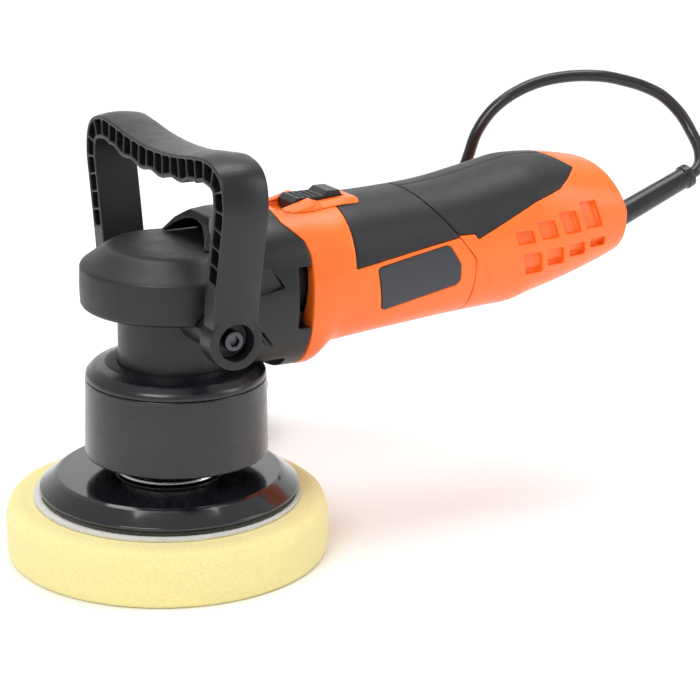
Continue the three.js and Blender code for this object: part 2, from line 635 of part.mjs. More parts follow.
// Two rows of four vent pockets on each side of the rear shell. Their feet are nearly level,
// the upper ones grow towards the rear and the lower ones shrink, and all lean back.
const VENT_WIDTH = 10.4;
function vents() {
  const floor = bodyForm(SEAM_X - 50, REAR_X, -1.5);
  const pockets = [];
  for (let i = 0; i < 4; i += 1) {
    const rows = [
      [171.6 + i * 14.1, 138.4 + i * 1.2, 145 + i * 3.6, 0.4],
      [178 + i * 13.2, 122.2 + i * 3.1, 133.2 + i, 0.3],
    ];
    for (const [x, low, high, lean] of rows) {
      const top = x - lean * (high - low);
      const outline = [[x, low], [x + VENT_WIDTH, low], [top + VENT_WIDTH, high], [top, high]];
      pockets.push(sideways(outline, -60, -20), sideways(outline, 20, 60));
    }
  }
  return pockets.map((pocket) => pocket.subtract(floor));
}

const dialSlot = () => block(DIAL_X + 5, REAR_X + 6, -10.8, 10.8, DIAL_Z - 4, DIAL_Z + 4);

function makeControls() {
  const button = sideways([
    [58.5, 161.2], [58.5, 165.5], [61, 167.6], [75, 167.6], [77.5, 169.6], [84, 169.6],
    [86.5, 164.5], [86.5, 161.2],
  ], -7.6, 7.6);
  const grooves = [63, 66, 69, 72].map((x) => block(x, x + 1.4, -BIG, BIG, 166.8, BIG));
  part('switch_slider', cut(button, ...grooves), BLACK());
  part('speed_dial', turned(ring(2.4, DIAL_R, DIAL_Z - 3.6, DIAL_Z + 3.6), DIAL_X, 0, 30), BLACK());
  part('speed_module', union(
    block(176, DIAL_X - DIAL_R - 0.8, -15, 15, 140, 150),
    block(DIAL_X - DIAL_R - 1.4, DIAL_X + 5, -6, 6, 140, 145),
    turned(disc(2, 144, 156), DIAL_X, 0, 16),
  ), tone(0x2d5a3a, 0.5));
  part('power_switch', block(158, 186, -10, 10, 109, 131), tone(0x1f2023, 0.5));
  part('cable_clamp', cut(
    block(198, 207, -12, 12, 117, 129),
    turnedX([[0, 190], [CORD_D / 2 + GAP, 190], [CORD_D / 2 + GAP, 220], [0, 220]], 16, 123),
  ), BLACK());
}

// ---------------------------------------------------------------- cord
const outward = new THREE.Vector3(Math.cos(EXIT_TILT), 0, Math.sin(EXIT_TILT));
const exitPoint = (distance) => new THREE.Vector3(REAR_X, 0, EXIT_Z)
  .addScaledVector(outward, distance);

// Out of the sleeve the stiff cord springs up, loops back beside the body and comes down
// behind it to the floor.
const CORD_ROUTE = [
  [314, 1.8, 160], [316.6, 6, 166.3], [317, 14, 174.5], [314, 21, 184], [307, 28.5, 193],
  [297, 33.5, 198.4], [286, 38.5, 201.8], [275, 42, 204],
  [259, 49, 204], [243, 55, 201], [228, 59, 194.5], [217, 62, 185.5], [209.5, 64, 174],
  [206, 66, 161], [202, 69, 147], [195, 73, 133], [185, 79, 120], [172, 87, 108], [158, 96, 97],
  [146, 107, 84], [136, 119, 69], [128, 133, 52], [121, 148, 35], [113, 164, 19], [101, 177, 8.5],
  [88, 182.6, 5],
];

const COIL_START = 1.35;          // where the cord joins the coil, radians round from +X
const coilTop = COIL_FOOT + COIL_LAYERS * CORD_D;
const coilPoint = (turn, r, z) => new THREE.Vector3(
  COIL_AT[0] + r * Math.cos(turn), COIL_AT[1] + r * Math.sin(turn), z,
);

function makeCord() {
  const flange = 5;
  const sleeve = turnedOut([
    [0, -12], [EXIT_R - GAP, -12], [EXIT_R - GAP, 4], [5.5, RELIEF_LENGTH - flange],
    [6.4, RELIEF_LENGTH - flange], [6.4, RELIEF_LENGTH - 1], [5, RELIEF_LENGTH], [0, RELIEF_LENGTH],
  ]);
  const collar = turnedOut(disc(9, -12, -7.4))
    .intersect(bodyForm(SEAM_X, REAR_X, -WALL - GAP));
  part('strain_relief', union(sleeve, collar), RUBBER());
  const meet = coilPoint(COIL_START, COIL_R + 2 * CORD_D + GAP, COIL_FOOT + CORD_D / 2);
  const points = [
    exitPoint(RELIEF_LENGTH + GAP), exitPoint(RELIEF_LENGTH + 4),
    ...CORD_ROUTE.map((p) => new THREE.Vector3(...p)), meet,
  ];
  const route = new THREE.CatmullRomCurve3(points, false, 'centripetal');
  const section = new THREE.Shape();
  section.absarc(0, 0, CORD_D / 2, 0, 2 * Math.PI);
  const steps = 44;
  const geometry = new THREE.ExtrudeGeometry(section, {
    extrudePath: route, steps, curveSegments: 5, bevelEnabled: false,
  });
  part('cord', solidOf(geometry), RUBBER());
  const half = (COIL_LAYERS * CORD_D) / 2;
  part('cord_coil', turned(
    ring(COIL_R - half, COIL_R + half, COIL_FOOT, coilTop), COIL_AT[0], COIL_AT[1], 24,
  ), RUBBER());
  const reach = half + 1;
  const loop = cut(
    block(-reach - 1, reach + 1, -4, 4, 0, coilTop + GAP + 1),
    block(-reach, reach, -BIG, BIG, COIL_FOOT - GAP, coilTop + GAP),
  );
  part('coil_tie', loop.translate([COIL_AT[0] - COIL_R, COIL_AT[1], 0]), tone(0x1d1d20, 0.8));
  const plugZ = coilTop + GAP + 11;
  const ovals = [[34, 5, 5], [30, 5.6, 5.6], [26, 9, 8], [4, 13, 9], [-2, 17, 11], [-12, 17, 11]];
  const body = loft(ovals.map(([x, wide, high]) => Array.from({ length: 16 }, (_, j) => {
    const angle = (2 * Math.PI * j) / 16;
    return new THREE.Vector3(x, wide * Math.cos(angle), plugZ + high * Math.sin(angle));
  })));
  const pins = [-9.5, 9.5].map((y) => turnedX(disc(2.4, -31, -10), 12, plugZ).translate([0, y, 0]));
  const turnIn = 150;
  const [px, py] = [COIL_AT[0] + 14, COIL_AT[1] + 30];
  part('mains_plug', union(body, ...pins).rotate([0, 0, turnIn - 180]).translate([px, py, 0]), BLACK());
}

makePad();
makeDrive();
makeHead();
makeHeadCover();
makeShroud();
makeHandle();
makeArmature();
makeMotor();
makeHousings();
makeControls();
makeCord();

export default group;
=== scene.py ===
"""Looks of the dual-action polisher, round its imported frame. Lengths are in millimetres."""

import json
import math

import bmesh
import bpy
import numpy as np
from mathutils import Matrix, Vector


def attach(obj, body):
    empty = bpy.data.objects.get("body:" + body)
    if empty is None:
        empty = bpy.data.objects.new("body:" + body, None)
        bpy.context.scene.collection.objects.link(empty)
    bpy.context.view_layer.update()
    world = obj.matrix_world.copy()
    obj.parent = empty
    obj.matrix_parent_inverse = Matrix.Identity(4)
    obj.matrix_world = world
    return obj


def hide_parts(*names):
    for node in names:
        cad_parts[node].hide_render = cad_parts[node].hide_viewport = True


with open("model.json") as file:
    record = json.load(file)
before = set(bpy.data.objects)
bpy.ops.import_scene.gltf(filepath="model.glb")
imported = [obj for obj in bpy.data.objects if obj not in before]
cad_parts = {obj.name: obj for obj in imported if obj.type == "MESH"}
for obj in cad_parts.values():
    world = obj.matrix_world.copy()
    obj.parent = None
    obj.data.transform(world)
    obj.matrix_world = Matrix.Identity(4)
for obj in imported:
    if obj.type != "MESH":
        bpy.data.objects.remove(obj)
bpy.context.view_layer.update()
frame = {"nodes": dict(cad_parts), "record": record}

MM = 0.001
SEED = 7

# -------------------------------------------------- dimensions, as in the CAD
GAP = 0.3
PAD_X = -4.0
FOAM_X = -5.0
FOAM_R = 77.6
FOAM_TOP = 27.4
NECK_R = 27.4
AXIS_Z = 131.5
COLLAR_X = 55.0
GRIP_X = 79.0
SEAM_X = 147.0
SEAM_Z = 134.0
SEAM_LEAN = 0.8
REAR_X = 241.0
BORE_R = 28.8
HEAD_BOTTOM = 122.0
HEAD_R = 44.6
HEAD_TOP = 151.2
HEAD_REAR = 24.0
HANDLE_FOOT_Y = 61.0
HANDLE_WIDE_Y = 70.8
HANDLE_TOP = 203.0
HANDLE_T = 11.2
HANDLE_X0, HANDLE_X1 = -12.0, 10.0
BOLT_X, BOLT_Z = -1.0, 120.0
LUG_HOLE_R = 9.3
EXIT_Z = 129.4
EXIT_TILT = 0.375
EXIT_R = 6.6
RELIEF_LENGTH = 70.0
DIAL_X, DIAL_R, DIAL_Z = 230.0, 12.0, 151.0
TAIL_X, TAIL_BITE_R = 207.0, 30.4
CORD_D = 6.4
COIL_TURNS = 8.15
COIL_AT = (63.0, 137.0)
COIL_R = 35.0
COIL_FOOT = 1.5
COIL_START = 1.35
COIL_TOP = COIL_FOOT + 3 * CORD_D
SHROUD_R, SHROUD_BOTTOM, SHROUD_SEAM, SHROUD_TOP = 44.0, 49.0, 86.5, 94.0
PLATE_R, PLATE_TOP_R, PLATE_BOTTOM, PLATE_TOP = 62.5, 54.0, 30.9, 39.5
LOOP_R = 64.4
BIG = 400.0
SIDES = (("right", -1), ("left", 1))
SQUARE = 2.35
BODY = [
    (-10, 31, 152, 96), (9, 34.5, 160, 92), (30, 36, 163, 87), (COLLAR_X, 36, 164, 86),
    (62.5, 36, 164.2, 86.3), (72, 35.6, 164.6, 94.3), (GRIP_X, 35.4, 165.2, 95.3),
    (113, 34.5, 166.3, 98), (140, 34.5, 168.2, 100), (166, 35, 172.6, 101.3),
    (178, 35.3, 175, 101.9), (188, 35.5, 176.4, 104.8), (208, 34.8, 175.6, 109.9),
    (230, 32.4, 172, 116.5), (REAR_X, 31, 169, 120.8),
]

# -------------------------------------------------- camera
CAMERA_AT = (-383.85, -827.21, 379.16)
CAMERA_TURN = math.radians(-30.1)
CAMERA_DOWN = math.radians(17.1)
CAMERA_ROLL = math.radians(0.9)
CAMERA_LENS = 102.857


def make_camera():
    data = bpy.data.cameras.new("camera")
    data.sensor_width = 36.0
    data.lens = CAMERA_LENS
    data.clip_end = 20.0
    forward = Vector((
        -math.sin(CAMERA_TURN) * math.cos(CAMERA_DOWN),
        math.cos(CAMERA_TURN) * math.cos(CAMERA_DOWN),
        -math.sin(CAMERA_DOWN),
    ))
    right = Vector((math.cos(CAMERA_TURN), math.sin(CAMERA_TURN), 0))
    up = right.cross(forward)
    c, s = math.cos(CAMERA_ROLL), math.sin(CAMERA_ROLL)
    x, y = right * c + up * s, up * c - right * s
    turn = Matrix((x, y, -forward)).transposed().to_4x4()
    camera = bpy.data.objects.new("camera", data)
    camera.matrix_world = Matrix.Translation(Vector(CAMERA_AT) * MM) @ turn
    bpy.context.scene.collection.objects.link(camera)
    bpy.context.scene.camera = camera


make_camera()


# -------------------------------------------------- materials
class Nodes:
    """A small helper around one material's node tree."""

    def __init__(self, name):
        self.material = bpy.data.materials.new(name)
        self.material.use_nodes = True
        self.tree = self.material.node_tree
        self.shader = self.tree.nodes["Principled BSDF"]
        self.coordinates = self.tree.nodes.new("ShaderNodeTexCoord").outputs["Object"]

    def add(self, kind, **values):
        node = self.tree.nodes.new(kind)
        for key, value in values.items():
            if hasattr(node, key):
                setattr(node, key, value)
            else:
                node.inputs[key.replace("_", " ")].default_value = value
        return node

    def link(self, a, b):
        self.tree.links.new(a, b)

    def noise(self, scale, detail=3.0, rough=0.55):
        node = self.add("ShaderNodeTexNoise", Scale=scale, Detail=detail, Roughness=rough)
        self.link(self.coordinates, node.inputs["Vector"])
        return node.outputs["Fac"]

    def ramp(self, factor, *stops):
        node = self.add("ShaderNodeValToRGB")
        elements = node.color_ramp.elements
        while len(elements) < len(stops):
            elements.new(0.5)
        for element, (place, color) in zip(elements, stops):
            element.position = place
            element.color = (*color, 1.0)
        self.link(factor, node.inputs["Fac"])
        return node.outputs["Color"]

    def between(self, factor, low, high, from_low=0.3, from_high=0.7):
        node = self.add("ShaderNodeMapRange")
        for key, value in (("From Min", from_low), ("From Max", from_high), ("To Min", low),
                           ("To Max", high)):
            node.inputs[key].default_value = value
        self.link(factor, node.inputs["Value"])
        return node.outputs["Result"]

    def bump(self, height, strength, distance, below=None):
        node = self.add("ShaderNodeBump", Strength=strength, Distance=distance)
        self.link(height, node.inputs["Height"])
        if below is not None:
            self.link(below, node.inputs["Normal"])
        return node.outputs["Normal"]


def shade(color, factor):
    return tuple(min(1.0, c * factor) for c in color)


def moulded(name, color, rough, grain=0.05, grain_scale=2600.0, vary=0.07, coat=0.0):
    """Moulded plastic or rubber: a fine spark-eroded grain, faint flow marks and handling sheen."""
    n = Nodes(name)
    flow = n.noise(26.0, 4.0, 0.6)
    n.link(n.ramp(flow, (0.3, shade(color, 1 - vary)), (0.7, shade(color, 1 + vary))),
           n.shader.inputs["Base Color"])
    wear = n.noise(95.0, 5.0, 0.65)
    n.link(n.between(wear, rough - 0.05, rough + 0.06), n.shader.inputs["Roughness"])
    fine = n.noise(grain_scale, 2.0, 0.5)
    wide = n.noise(140.0, 2.0, 0.5)
    soft = n.bump(wide, 0.05, 0.0006)
    n.link(n.bump(fine, grain, 0.0002, soft), n.shader.inputs["Normal"])
    n.shader.inputs["Coat Weight"].default_value = coat
    n.shader.inputs["Coat Roughness"].default_value = 0.18
    return n.material


def metal(name, color, rough, turning=True):
    """Turned or ground metal with concentric tool marks."""
    n = Nodes(name)
    n.shader.inputs["Metallic"].default_value = 1.0
    tone = n.noise(60.0, 4.0, 0.6)
    n.link(n.ramp(tone, (0.3, shade(color, 0.86)), (0.7, shade(color, 1.08))),
           n.shader.inputs["Base Color"])
    n.link(n.between(n.noise(240.0, 3.0), rough - 0.06, rough + 0.08), n.shader.inputs["Roughness"])
    if turning:
        wave = n.add("ShaderNodeTexWave", wave_type="RINGS", rings_direction="Z", Scale=900.0,
                     Distortion=0.6, Detail=2.0)
        n.link(n.coordinates, wave.inputs["Vector"])
        n.link(n.bump(wave.outputs["Fac"], 0.08, 0.0001), n.shader.inputs["Normal"])
    else:
        n.link(n.bump(n.noise(1500.0, 3.0), 0.12, 0.0002), n.shader.inputs["Normal"])
    return n.material


def foam_material():
    n = Nodes("open_cell_foam")
    color = (0.86, 0.755, 0.33)
    broad = n.noise(18.0, 4.0, 0.6)
    base = n.ramp(broad, (0.28, shade(color, 0.965)), (0.72, shade(color, 1.03)))
    cells = n.add("ShaderNodeTexVoronoi", Scale=1150.0, feature="SMOOTH_F1")
    n.link(n.coordinates, cells.inputs["Vector"])
    # Painted shade in the pores: the colour is darkened at the cell centres, where the bump below
    # makes pits.
    pore_shade = n.add("ShaderNodeMix", data_type="RGBA", blend_type="MULTIPLY")
    pore_shade.inputs["Factor"].default_value = 0.2
    n.link(base, pore_shade.inputs["A"])
    n.link(n.ramp(cells.outputs["Distance"], (0.1, (0.62, 0.55, 0.42)), (0.55, (1.0, 1.0, 1.0))),
           pore_shade.inputs["B"])
    n.link(pore_shade.outputs["Result"], n.shader.inputs["Base Color"])
    wide = n.bump(n.noise(150.0, 4.0, 0.6), 0.18, 0.001)
    n.link(n.bump(cells.outputs["Distance"], 0.4, 0.0005, wide), n.shader.inputs["Normal"])
    n.link(n.between(broad, 0.86, 0.97), n.shader.inputs["Roughness"])
    n.shader.inputs["Sheen Weight"].default_value = 0.25
    n.shader.inputs["Sheen Roughness"].default_value = 0.6
    n.shader.inputs["Subsurface Weight"].default_value = 0.12
    n.shader.inputs["Subsurface Radius"].default_value = (0.004, 0.003, 0.0015)
    n.shader.inputs["Subsurface Scale"].default_value = 1.0
    n.shader.inputs["Specular IOR Level"].default_value = 0.2
    return n.material


def cloth_material(name, color, dark):
    """Brushed loop or hook cloth: tangled short fibres, with painted shade where their bump is low.
    """
    n = Nodes(name)
    tangle = n.noise(1400.0, 5.0, 0.7)
    # Painted shade between the fibres: dark scales the colour down where the tangle bump is low.
    n.link(n.ramp(tangle, (0.3, shade(color, dark)), (0.65, color)), n.shader.inputs["Base Color"])
    n.link(n.between(n.noise(300.0), 0.82, 0.97), n.shader.inputs["Roughness"])
    n.link(n.bump(tangle, 0.9, 0.0009), n.shader.inputs["Normal"])
    n.shader.inputs["Sheen Weight"].default_value = 0.35
    n.shader.inputs["Sheen Roughness"].default_value = 0.45
    return n.material


def banded(name, direction, scale, distortion, stops, grain, rough, relief):
    """Metal in fine bands: enamelled wire laid side by side, or a stack of thin sheets. The colour
    follows the band relief and is darker in its grooves, as painted shade between the wires and
    between the sheets.
    """
    n = Nodes(name)
    n.shader.inputs["Metallic"].default_value = 1.0
    wave = n.add("ShaderNodeTexWave", wave_type="BANDS", bands_direction=direction, Scale=scale,
                 Distortion=distortion, Detail=2.0)
    n.link(n.coordinates, wave.inputs["Vector"])
    # Painted shade: the band colour is darkest where the same wave makes the relief lowest.
    n.link(n.ramp(wave.outputs["Fac"], *stops), n.shader.inputs["Base Color"])
    n.link(n.between(n.noise(grain), *rough), n.shader.inputs["Roughness"])
    n.link(n.bump(wave.outputs["Fac"], *relief), n.shader.inputs["Normal"])
    return n.material


def plate_material():
    """Glossy moulded backing plate with a few faint swirl scratches."""
    n = Nodes("plate_gloss")
    n.link(n.ramp(n.noise(20.0), (0.3, (0.006, 0.006, 0.008)), (0.7, (0.010, 0.011, 0.013))),
           n.shader.inputs["Base Color"])
    wave = n.add("ShaderNodeTexWave", wave_type="RINGS", rings_direction="Z", Scale=55.0,
                 Distortion=2.0, Detail=4.0)
    n.link(n.coordinates, wave.inputs["Vector"])
    n.link(n.bump(wave.outputs["Fac"], 0.03, 0.0003), n.shader.inputs["Normal"])
    n.link(n.between(n.noise(70.0, 5.0, 0.7), 0.09, 0.17), n.shader.inputs["Roughness"])
    n.shader.inputs["Coat Weight"].default_value = 0.4
    n.shader.inputs["Coat Roughness"].default_value = 0.06
    return n.material


ORANGE = moulded("orange_plastic", (1.0, 0.165, 0.012), 0.36, grain=0.03, vary=0.05, coat=0.15)
SATIN = moulded("satin_black", (0.008, 0.0085, 0.011), 0.27, grain=0.03, vary=0.1, coat=0.2)
BLACK = moulded("black_plastic", (0.006, 0.0066, 0.0088), 0.38, grain=0.10, vary=0.12)
CASE = moulded("black_powder_coat", (0.006, 0.0066, 0.0088), 0.38, grain=0.16, vary=0.12)
RUBBER = moulded("soft_grip", (0.008, 0.0087, 0.0112), 0.46, grain=0.14, grain_scale=1900.0,
                 vary=0.15)
DARK = moulded("label_plate_plastic", (0.030, 0.033, 0.042), 0.36, grain=0.04, vary=0.08)
PVC = moulded("cord_sheath", (0.009, 0.0095, 0.012), 0.28, grain=0.03, vary=0.15, coat=0.2)
GREEN = moulded("circuit_board", (0.02, 0.11, 0.05), 0.4, vary=0.3)
CARBON = moulded("carbon", (0.02, 0.02, 0.02), 0.62, grain=0.3, vary=0.3)
FOAM = foam_material()
# The third figure sets how dark the painted shade between the fibres is.
LOOP = cloth_material("loop_cloth", (0.93, 0.91, 0.86), 0.78)
HOOK = cloth_material("hook_tape", (0.050, 0.048, 0.030), 0.3)
PLATE = plate_material()
STEEL = metal("turned_steel", (0.62, 0.63, 0.66), 0.24)
STEEL_DARK = metal("blackened_screw", (0.10, 0.10, 0.11), 0.3)
ALLOY = metal("cast_alloy", (0.52, 0.53, 0.55), 0.42, turning=False)
IRON = metal("cast_iron", (0.26, 0.26, 0.27), 0.5, turning=False)
BRASS = metal("pressed_brass", (0.72, 0.50, 0.21), 0.3, turning=False)
# The dark first stops are painted shade in the grooves between the wires and between the sheets.
COPPER = banded("copper_winding", "DIAGONAL", 420.0, 1.2,
                ((0.15, (0.16, 0.05, 0.02)), (0.7, (0.72, 0.32, 0.13))),
                200.0, (0.28, 0.42), (0.7, 0.0006))
LAMINATED = banded("laminated_steel", "X", 500.0, 0.1,
                   ((0.2, (0.20, 0.20, 0.21)), (0.8, (0.45, 0.45, 0.47))),
                   220.0, (0.35, 0.5), (0.4, 0.0003))

LOOKS = {
    "foam": FOAM, "loop_cloth": LOOP, "hook_cloth": HOOK, "plate_gloss": PLATE, "steel": STEEL,
    "counterweight_iron": IRON, "alloy": ALLOY, "gear_case_black": CASE, "rubber_black": RUBBER,
    "plastic_black": BLACK, "plastic_orange": ORANGE, "plastic_dark": DARK, "copper": COPPER,
    "brass": BRASS, "carbon": CARBON, "circuit_green": GREEN, "pvc_black": PVC,
}


# -------------------------------------------------- mesh code
def mesh_of(name, points, faces):
    """A new object from points in millimetres and faces."""
    data = bpy.data.meshes.new(name)
    data.from_pydata([tuple(float(c) * MM for c in p) for p in points], [], faces)
    data.validate()
    made = bpy.data.objects.new(name, data)
    bpy.context.scene.collection.objects.link(made)
    return made


def settle(obj):
    """Applies the modifiers."""
    bpy.context.view_layer.update()
    graph = bpy.context.evaluated_depsgraph_get()
    old = obj.data
    new = bpy.data.meshes.new_from_object(obj.evaluated_get(graph))
    obj.modifiers.clear()
    obj.data = new
    if old.users == 0:
        bpy.data.meshes.remove(old)
    return obj


def points_of(obj):
    """The object's points as an array of rows, in metres."""
    rows = np.empty(len(obj.data.vertices) * 3)
    obj.data.vertices.foreach_get("co", rows)
    return rows.reshape(-1, 3)


def move_points(obj, rows):
    obj.data.vertices.foreach_set("co", rows.reshape(-1))
    obj.data.update()


def discard(obj):
    bpy.data.objects.remove(obj, do_unlink=True)


def combine(kind, base, *tools):
    for tool in tools:
        modifier = base.modifiers.new("combine", "BOOLEAN")
        modifier.operation = kind
        modifier.solver = "MANIFOLD"
        modifier.object = tool
        settle(base)
        discard(tool)
    return base


def cut(base, *tools):
    return combine("DIFFERENCE", base, *tools)


def union(base, *tools):
    return combine("UNION", base, *tools)


def common(base, *tools):
    return combine("INTERSECT", base, *tools)


def rounded(profile, steps=5):
    """A closed run of (r, z) or (r, z, fillet) with its corners rounded."""
    result = []
    n = len(profile)
    for i in range(n):
        here = np.array(profile[i][:2], float)
        radius = profile[i][2] if len(profile[i]) > 2 else 0.0
        before = np.array(profile[i - 1][:2], float) - here
        after = np.array(profile[(i + 1) % n][:2], float) - here
        lb, la = np.linalg.norm(before), np.linalg.norm(after)
        if radius <= 0 or lb < 1e-6 or la < 1e-6:
            result.append(tuple(here))
            continue
        before, after = before / lb, after / la
        half = math.acos(max(-1.0, min(1.0, float(before @ after)))) / 2
        reach = min(radius / max(math.tan(half), 1e-3), 0.49 * lb, 0.49 * la)
        start, end = here + before * reach, here + after * reach
        for k in range(steps + 1):
            t = k / steps
            result.append(tuple((1 - t) ** 2 * start + 2 * t * (1 - t) * here + t * t * end))
    return result


def lathe(name, profile, x=0.0, sides=144, place=None):
    """Turned about Z at x, or about the axis that place, a 4x4 matrix, gives."""
    run = rounded(profile)
    rings, points, faces = [], [], []
    for r, z in run:
        if r < 1e-6:
            rings.append([len(points)])
            points.append((0, 0, z))
            continue
        rings.append(list(range(len(points), len(points) + sides)))
        for j in range(sides):
            angle = 2 * math.pi * j / sides
            points.append((r * math.cos(angle), r * math.sin(angle), z))
    for i in range(len(rings)):
        a, b = rings[i], rings[(i + 1) % len(rings)]
        if len(a) == 1 and len(b) == 1:
            continue
        for j in range(sides):
            k = (j + 1) % sides
            quad = [a[j % len(a)], a[k % len(a)], b[k % len(b)], b[j % len(b)]]
            quad = list(dict.fromkeys(quad))
            if len(quad) > 2:
                faces.append(quad)
    matrix = place or Matrix.Translation((x, 0, 0))
    made = mesh_of(name, [matrix @ Vector(p) for p in points], faces)
    outward(made)
    return made


def outward(obj):
    """All faces look outwards."""
    edit = bmesh.new()
    edit.from_mesh(obj.data)
    bmesh.ops.remove_doubles(edit, verts=edit.verts, dist=1e-7)
    bmesh.ops.recalc_face_normals(edit, faces=edit.faces)
    edit.to_mesh(obj.data)
    edit.free()


MOTOR_AXIS = Matrix.Translation((0, 0, AXIS_Z)) @ Matrix.Rotation(math.pi / 2, 4, "Y")
EXIT_AXIS = (Matrix.Translation((REAR_X, 0, EXIT_Z))
             @ Matrix.Rotation(math.pi / 2 - EXIT_TILT, 4, "Y"))


def disc(r, z0, z1):
    return [(0, z0), (r, z0), (r, z1), (0, z1)]


def rod_y(r, x, z, y0, y1, sides=64):
    place = Matrix.Translation((x, 0, z)) @ Matrix.Rotation(-math.pi / 2, 4, "X")
    return lathe("rod", disc(r, min(y0, y1), max(y0, y1)), sides=sides, place=place)


def skin(name, rings):
    """Closed surface through rings of points, a fan at each end."""
    n = len(rings[0])
    points = [tuple(p) for ring in rings for p in ring]
    faces = []
    for i in range(len(rings) - 1):
        for j in range(n):
            a, b = i * n + j, i * n + (j + 1) % n
            faces.append([a, b, b + n, a + n])
    for ring, flip in ((0, True), (len(rings) - 1, False)):
        points.append(tuple(np.mean(rings[ring], axis=0)))
        for j in range(n):
            a, b = ring * n + j, ring * n + (j + 1) % n
            faces.append([b, a, len(points) - 1] if flip else [a, b, len(points) - 1])
    made = mesh_of(name, points, faces)
    outward(made)
    return made


def block(x0, x1, y0, y1, z0, z1):
    low = [(x0, y0, z0), (x1, y0, z0), (x1, y1, z0), (x0, y1, z0)]
    high = [(x, y, z1) for x, y, _ in low]
    return prism("block", low, high)


def prism(name, low, high):
    """Between two outlines with the same number of points."""
    n = len(low)
    faces = [list(range(n)), list(range(n, 2 * n))]
    faces += [[j, (j + 1) % n, n + (j + 1) % n, n + j] for j in range(n)]
    made = mesh_of(name, [*low, *high], faces)
    outward(made)
    return made


def sideways(outline, y0=-BIG, y1=BIG):
    return prism("side", [(x, y0, z) for x, z in outline], [(x, y1, z) for x, z in outline])


def endways(outline, x0, x1):
    return prism("end", [(x0, y, z) for y, z in outline], [(x1, y, z) for y, z in outline])


def sample(table, x):
    """Smooth value of each column of a table at x."""
    n = len(table)
    i = next((k for k, row in enumerate(table) if row[0] > x), n) - 1
    i = min(max(i, 0), n - 2)
    rows = [table[min(max(i + k, 0), n - 1)] for k in (-1, 0, 1, 2)]
    span = rows[2][0] - rows[1][0]
    t = (x - rows[1][0]) / span
    out = []
    for c in range(1, len(rows[0])):
        p0, p1, p2, p3 = (row[c] for row in rows)
        m1 = (p2 - p0) / (rows[2][0] - rows[0][0]) * span
        m2 = (p3 - p1) / (rows[3][0] - rows[1][0]) * span
        a = 2 * t ** 3 - 3 * t ** 2 + 1
        b = t ** 3 - 2 * t ** 2 + t
        out.append(a * p1 + b * m1 + (1 - a) * p2 + (t ** 3 - t ** 2) * m2)
    return out


def body_form(x0, x1, grow=0.0):
    """The motor body's outside, grown, between two stations."""
    sides, step = 140, 3.0
    count = max(1, round((x1 - x0) / step))
    rings = []
    for i in range(count + 1):
        x = x0 + (x1 - x0) * i / count
        half, top, bottom = sample(BODY, x)
        z, h = (top + bottom) / 2, (top - bottom) / 2 + grow
        ring = []
        for j in range(sides):
            angle = 2 * math.pi * j / sides
            c, s = math.cos(angle), math.sin(angle)
            ring.append((
                x,
                (half + grow) * math.copysign(abs(c) ** (2 / SQUARE), c),
                z + h * math.copysign(abs(s) ** (2 / SQUARE), s),
            ))
        rings.append(ring)
    return skin("body", rings)


def soften(obj, voxel=0.55, rounds=5):
    """Gives a cut solid even quads and the small radii of a moulding."""
    remesh = obj.modifiers.new("remesh", "REMESH")
    remesh.mode = "VOXEL"
    remesh.voxel_size = voxel * MM
    smooth = obj.modifiers.new("smooth", "SMOOTH")
    smooth.factor = 0.5
    smooth.iterations = rounds
    return settle(obj)


def smooth_shading(obj, angle=None):
    obj.data.polygons.foreach_set("use_smooth", [True] * len(obj.data.polygons))
    if angle is not None:
        obj.data.set_sharp_from_angle(angle=math.radians(angle))
    obj.data.update()


def piece(obj, name, slot, body, *nodes, look=None, angle=None):
    """Names, colours and mounts a finished piece."""
    obj.name = name
    obj.data.name = name
    obj.data.materials.clear()
    obj.data.materials.append(look or LOOKS[slot])
    if obj.type == "MESH":
        smooth_shading(obj, angle)
    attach(obj, body)
    if nodes:
        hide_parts(*nodes)
    return obj


# -------------------------------------------------- cord, coil and plug
CORD_ROUTE = [
    (314, 1.8, 160), (316.6, 6, 166.3), (317, 14, 174.5), (314, 21, 184), (307, 28.5, 193),
    (297, 33.5, 198.4), (286, 38.5, 201.8), (275, 42, 204),
    (259, 49, 204), (243, 55, 201), (228, 59, 194.5), (217, 62, 185.5), (209.5, 64, 174),
    (206, 66, 161), (202, 69, 147), (195, 73, 133), (185, 79, 120), (172, 87, 108), (158, 96, 97),
    (146, 107, 84), (136, 119, 69), (128, 133, 52), (121, 148, 35), (113, 164, 19), (101, 177, 8.5),
    (88, 182.6, 5),
]
PLUG_TURN = math.radians(-30)
PLUG_AT = (COIL_AT[0] + 14, COIL_AT[1] + 30, COIL_TOP + GAP + 11)
PLUG_REAR = 34.0


def exit_point(distance):
    return np.array((REAR_X + math.cos(EXIT_TILT) * distance, 0,
                     EXIT_Z + math.sin(EXIT_TILT) * distance))


def coil_lane(turn):
    """Radius and height after so many turns: out to in, up, in to out, up, out to in."""
    lanes = [(1, 0), (0, 0), (-1, 0), (-1, 1), (0, 1), (1, 1), (1, 2), (0, 2), (-1, 2)]
    i = min(int(turn), len(lanes) - 2)
    t = turn - i
    change = 0.45                    # share of a turn in which the cord changes lane
    k = max(0.0, min(1.0, (t - (1 - change)) / change))
    k = k * k * (3 - 2 * k)
    across = lanes[i][0] * (1 - k) + lanes[i + 1][0] * k
    layer = lanes[i][1] * (1 - k) + lanes[i + 1][1] * k
    return COIL_R + across * CORD_D, COIL_FOOT + CORD_D * (layer + 0.5)


def coil_points(turns):
    points = []
    count = int(turns * 40)
    lead_in = 0.14                   # share of a turn in which the cord joins the coil
    for i in range(count + 1):
        turn = turns * i / count
        r, z = coil_lane(turn)
        k = max(0.0, 1 - turn / lead_in)
        r += (COIL_R + 2 * CORD_D + GAP - r) * k * k * (3 - 2 * k)
        angle = COIL_START + 2 * math.pi * turn
        points.append((COIL_AT[0] + r * math.cos(angle), COIL_AT[1] + r * math.sin(angle), z))
    return points


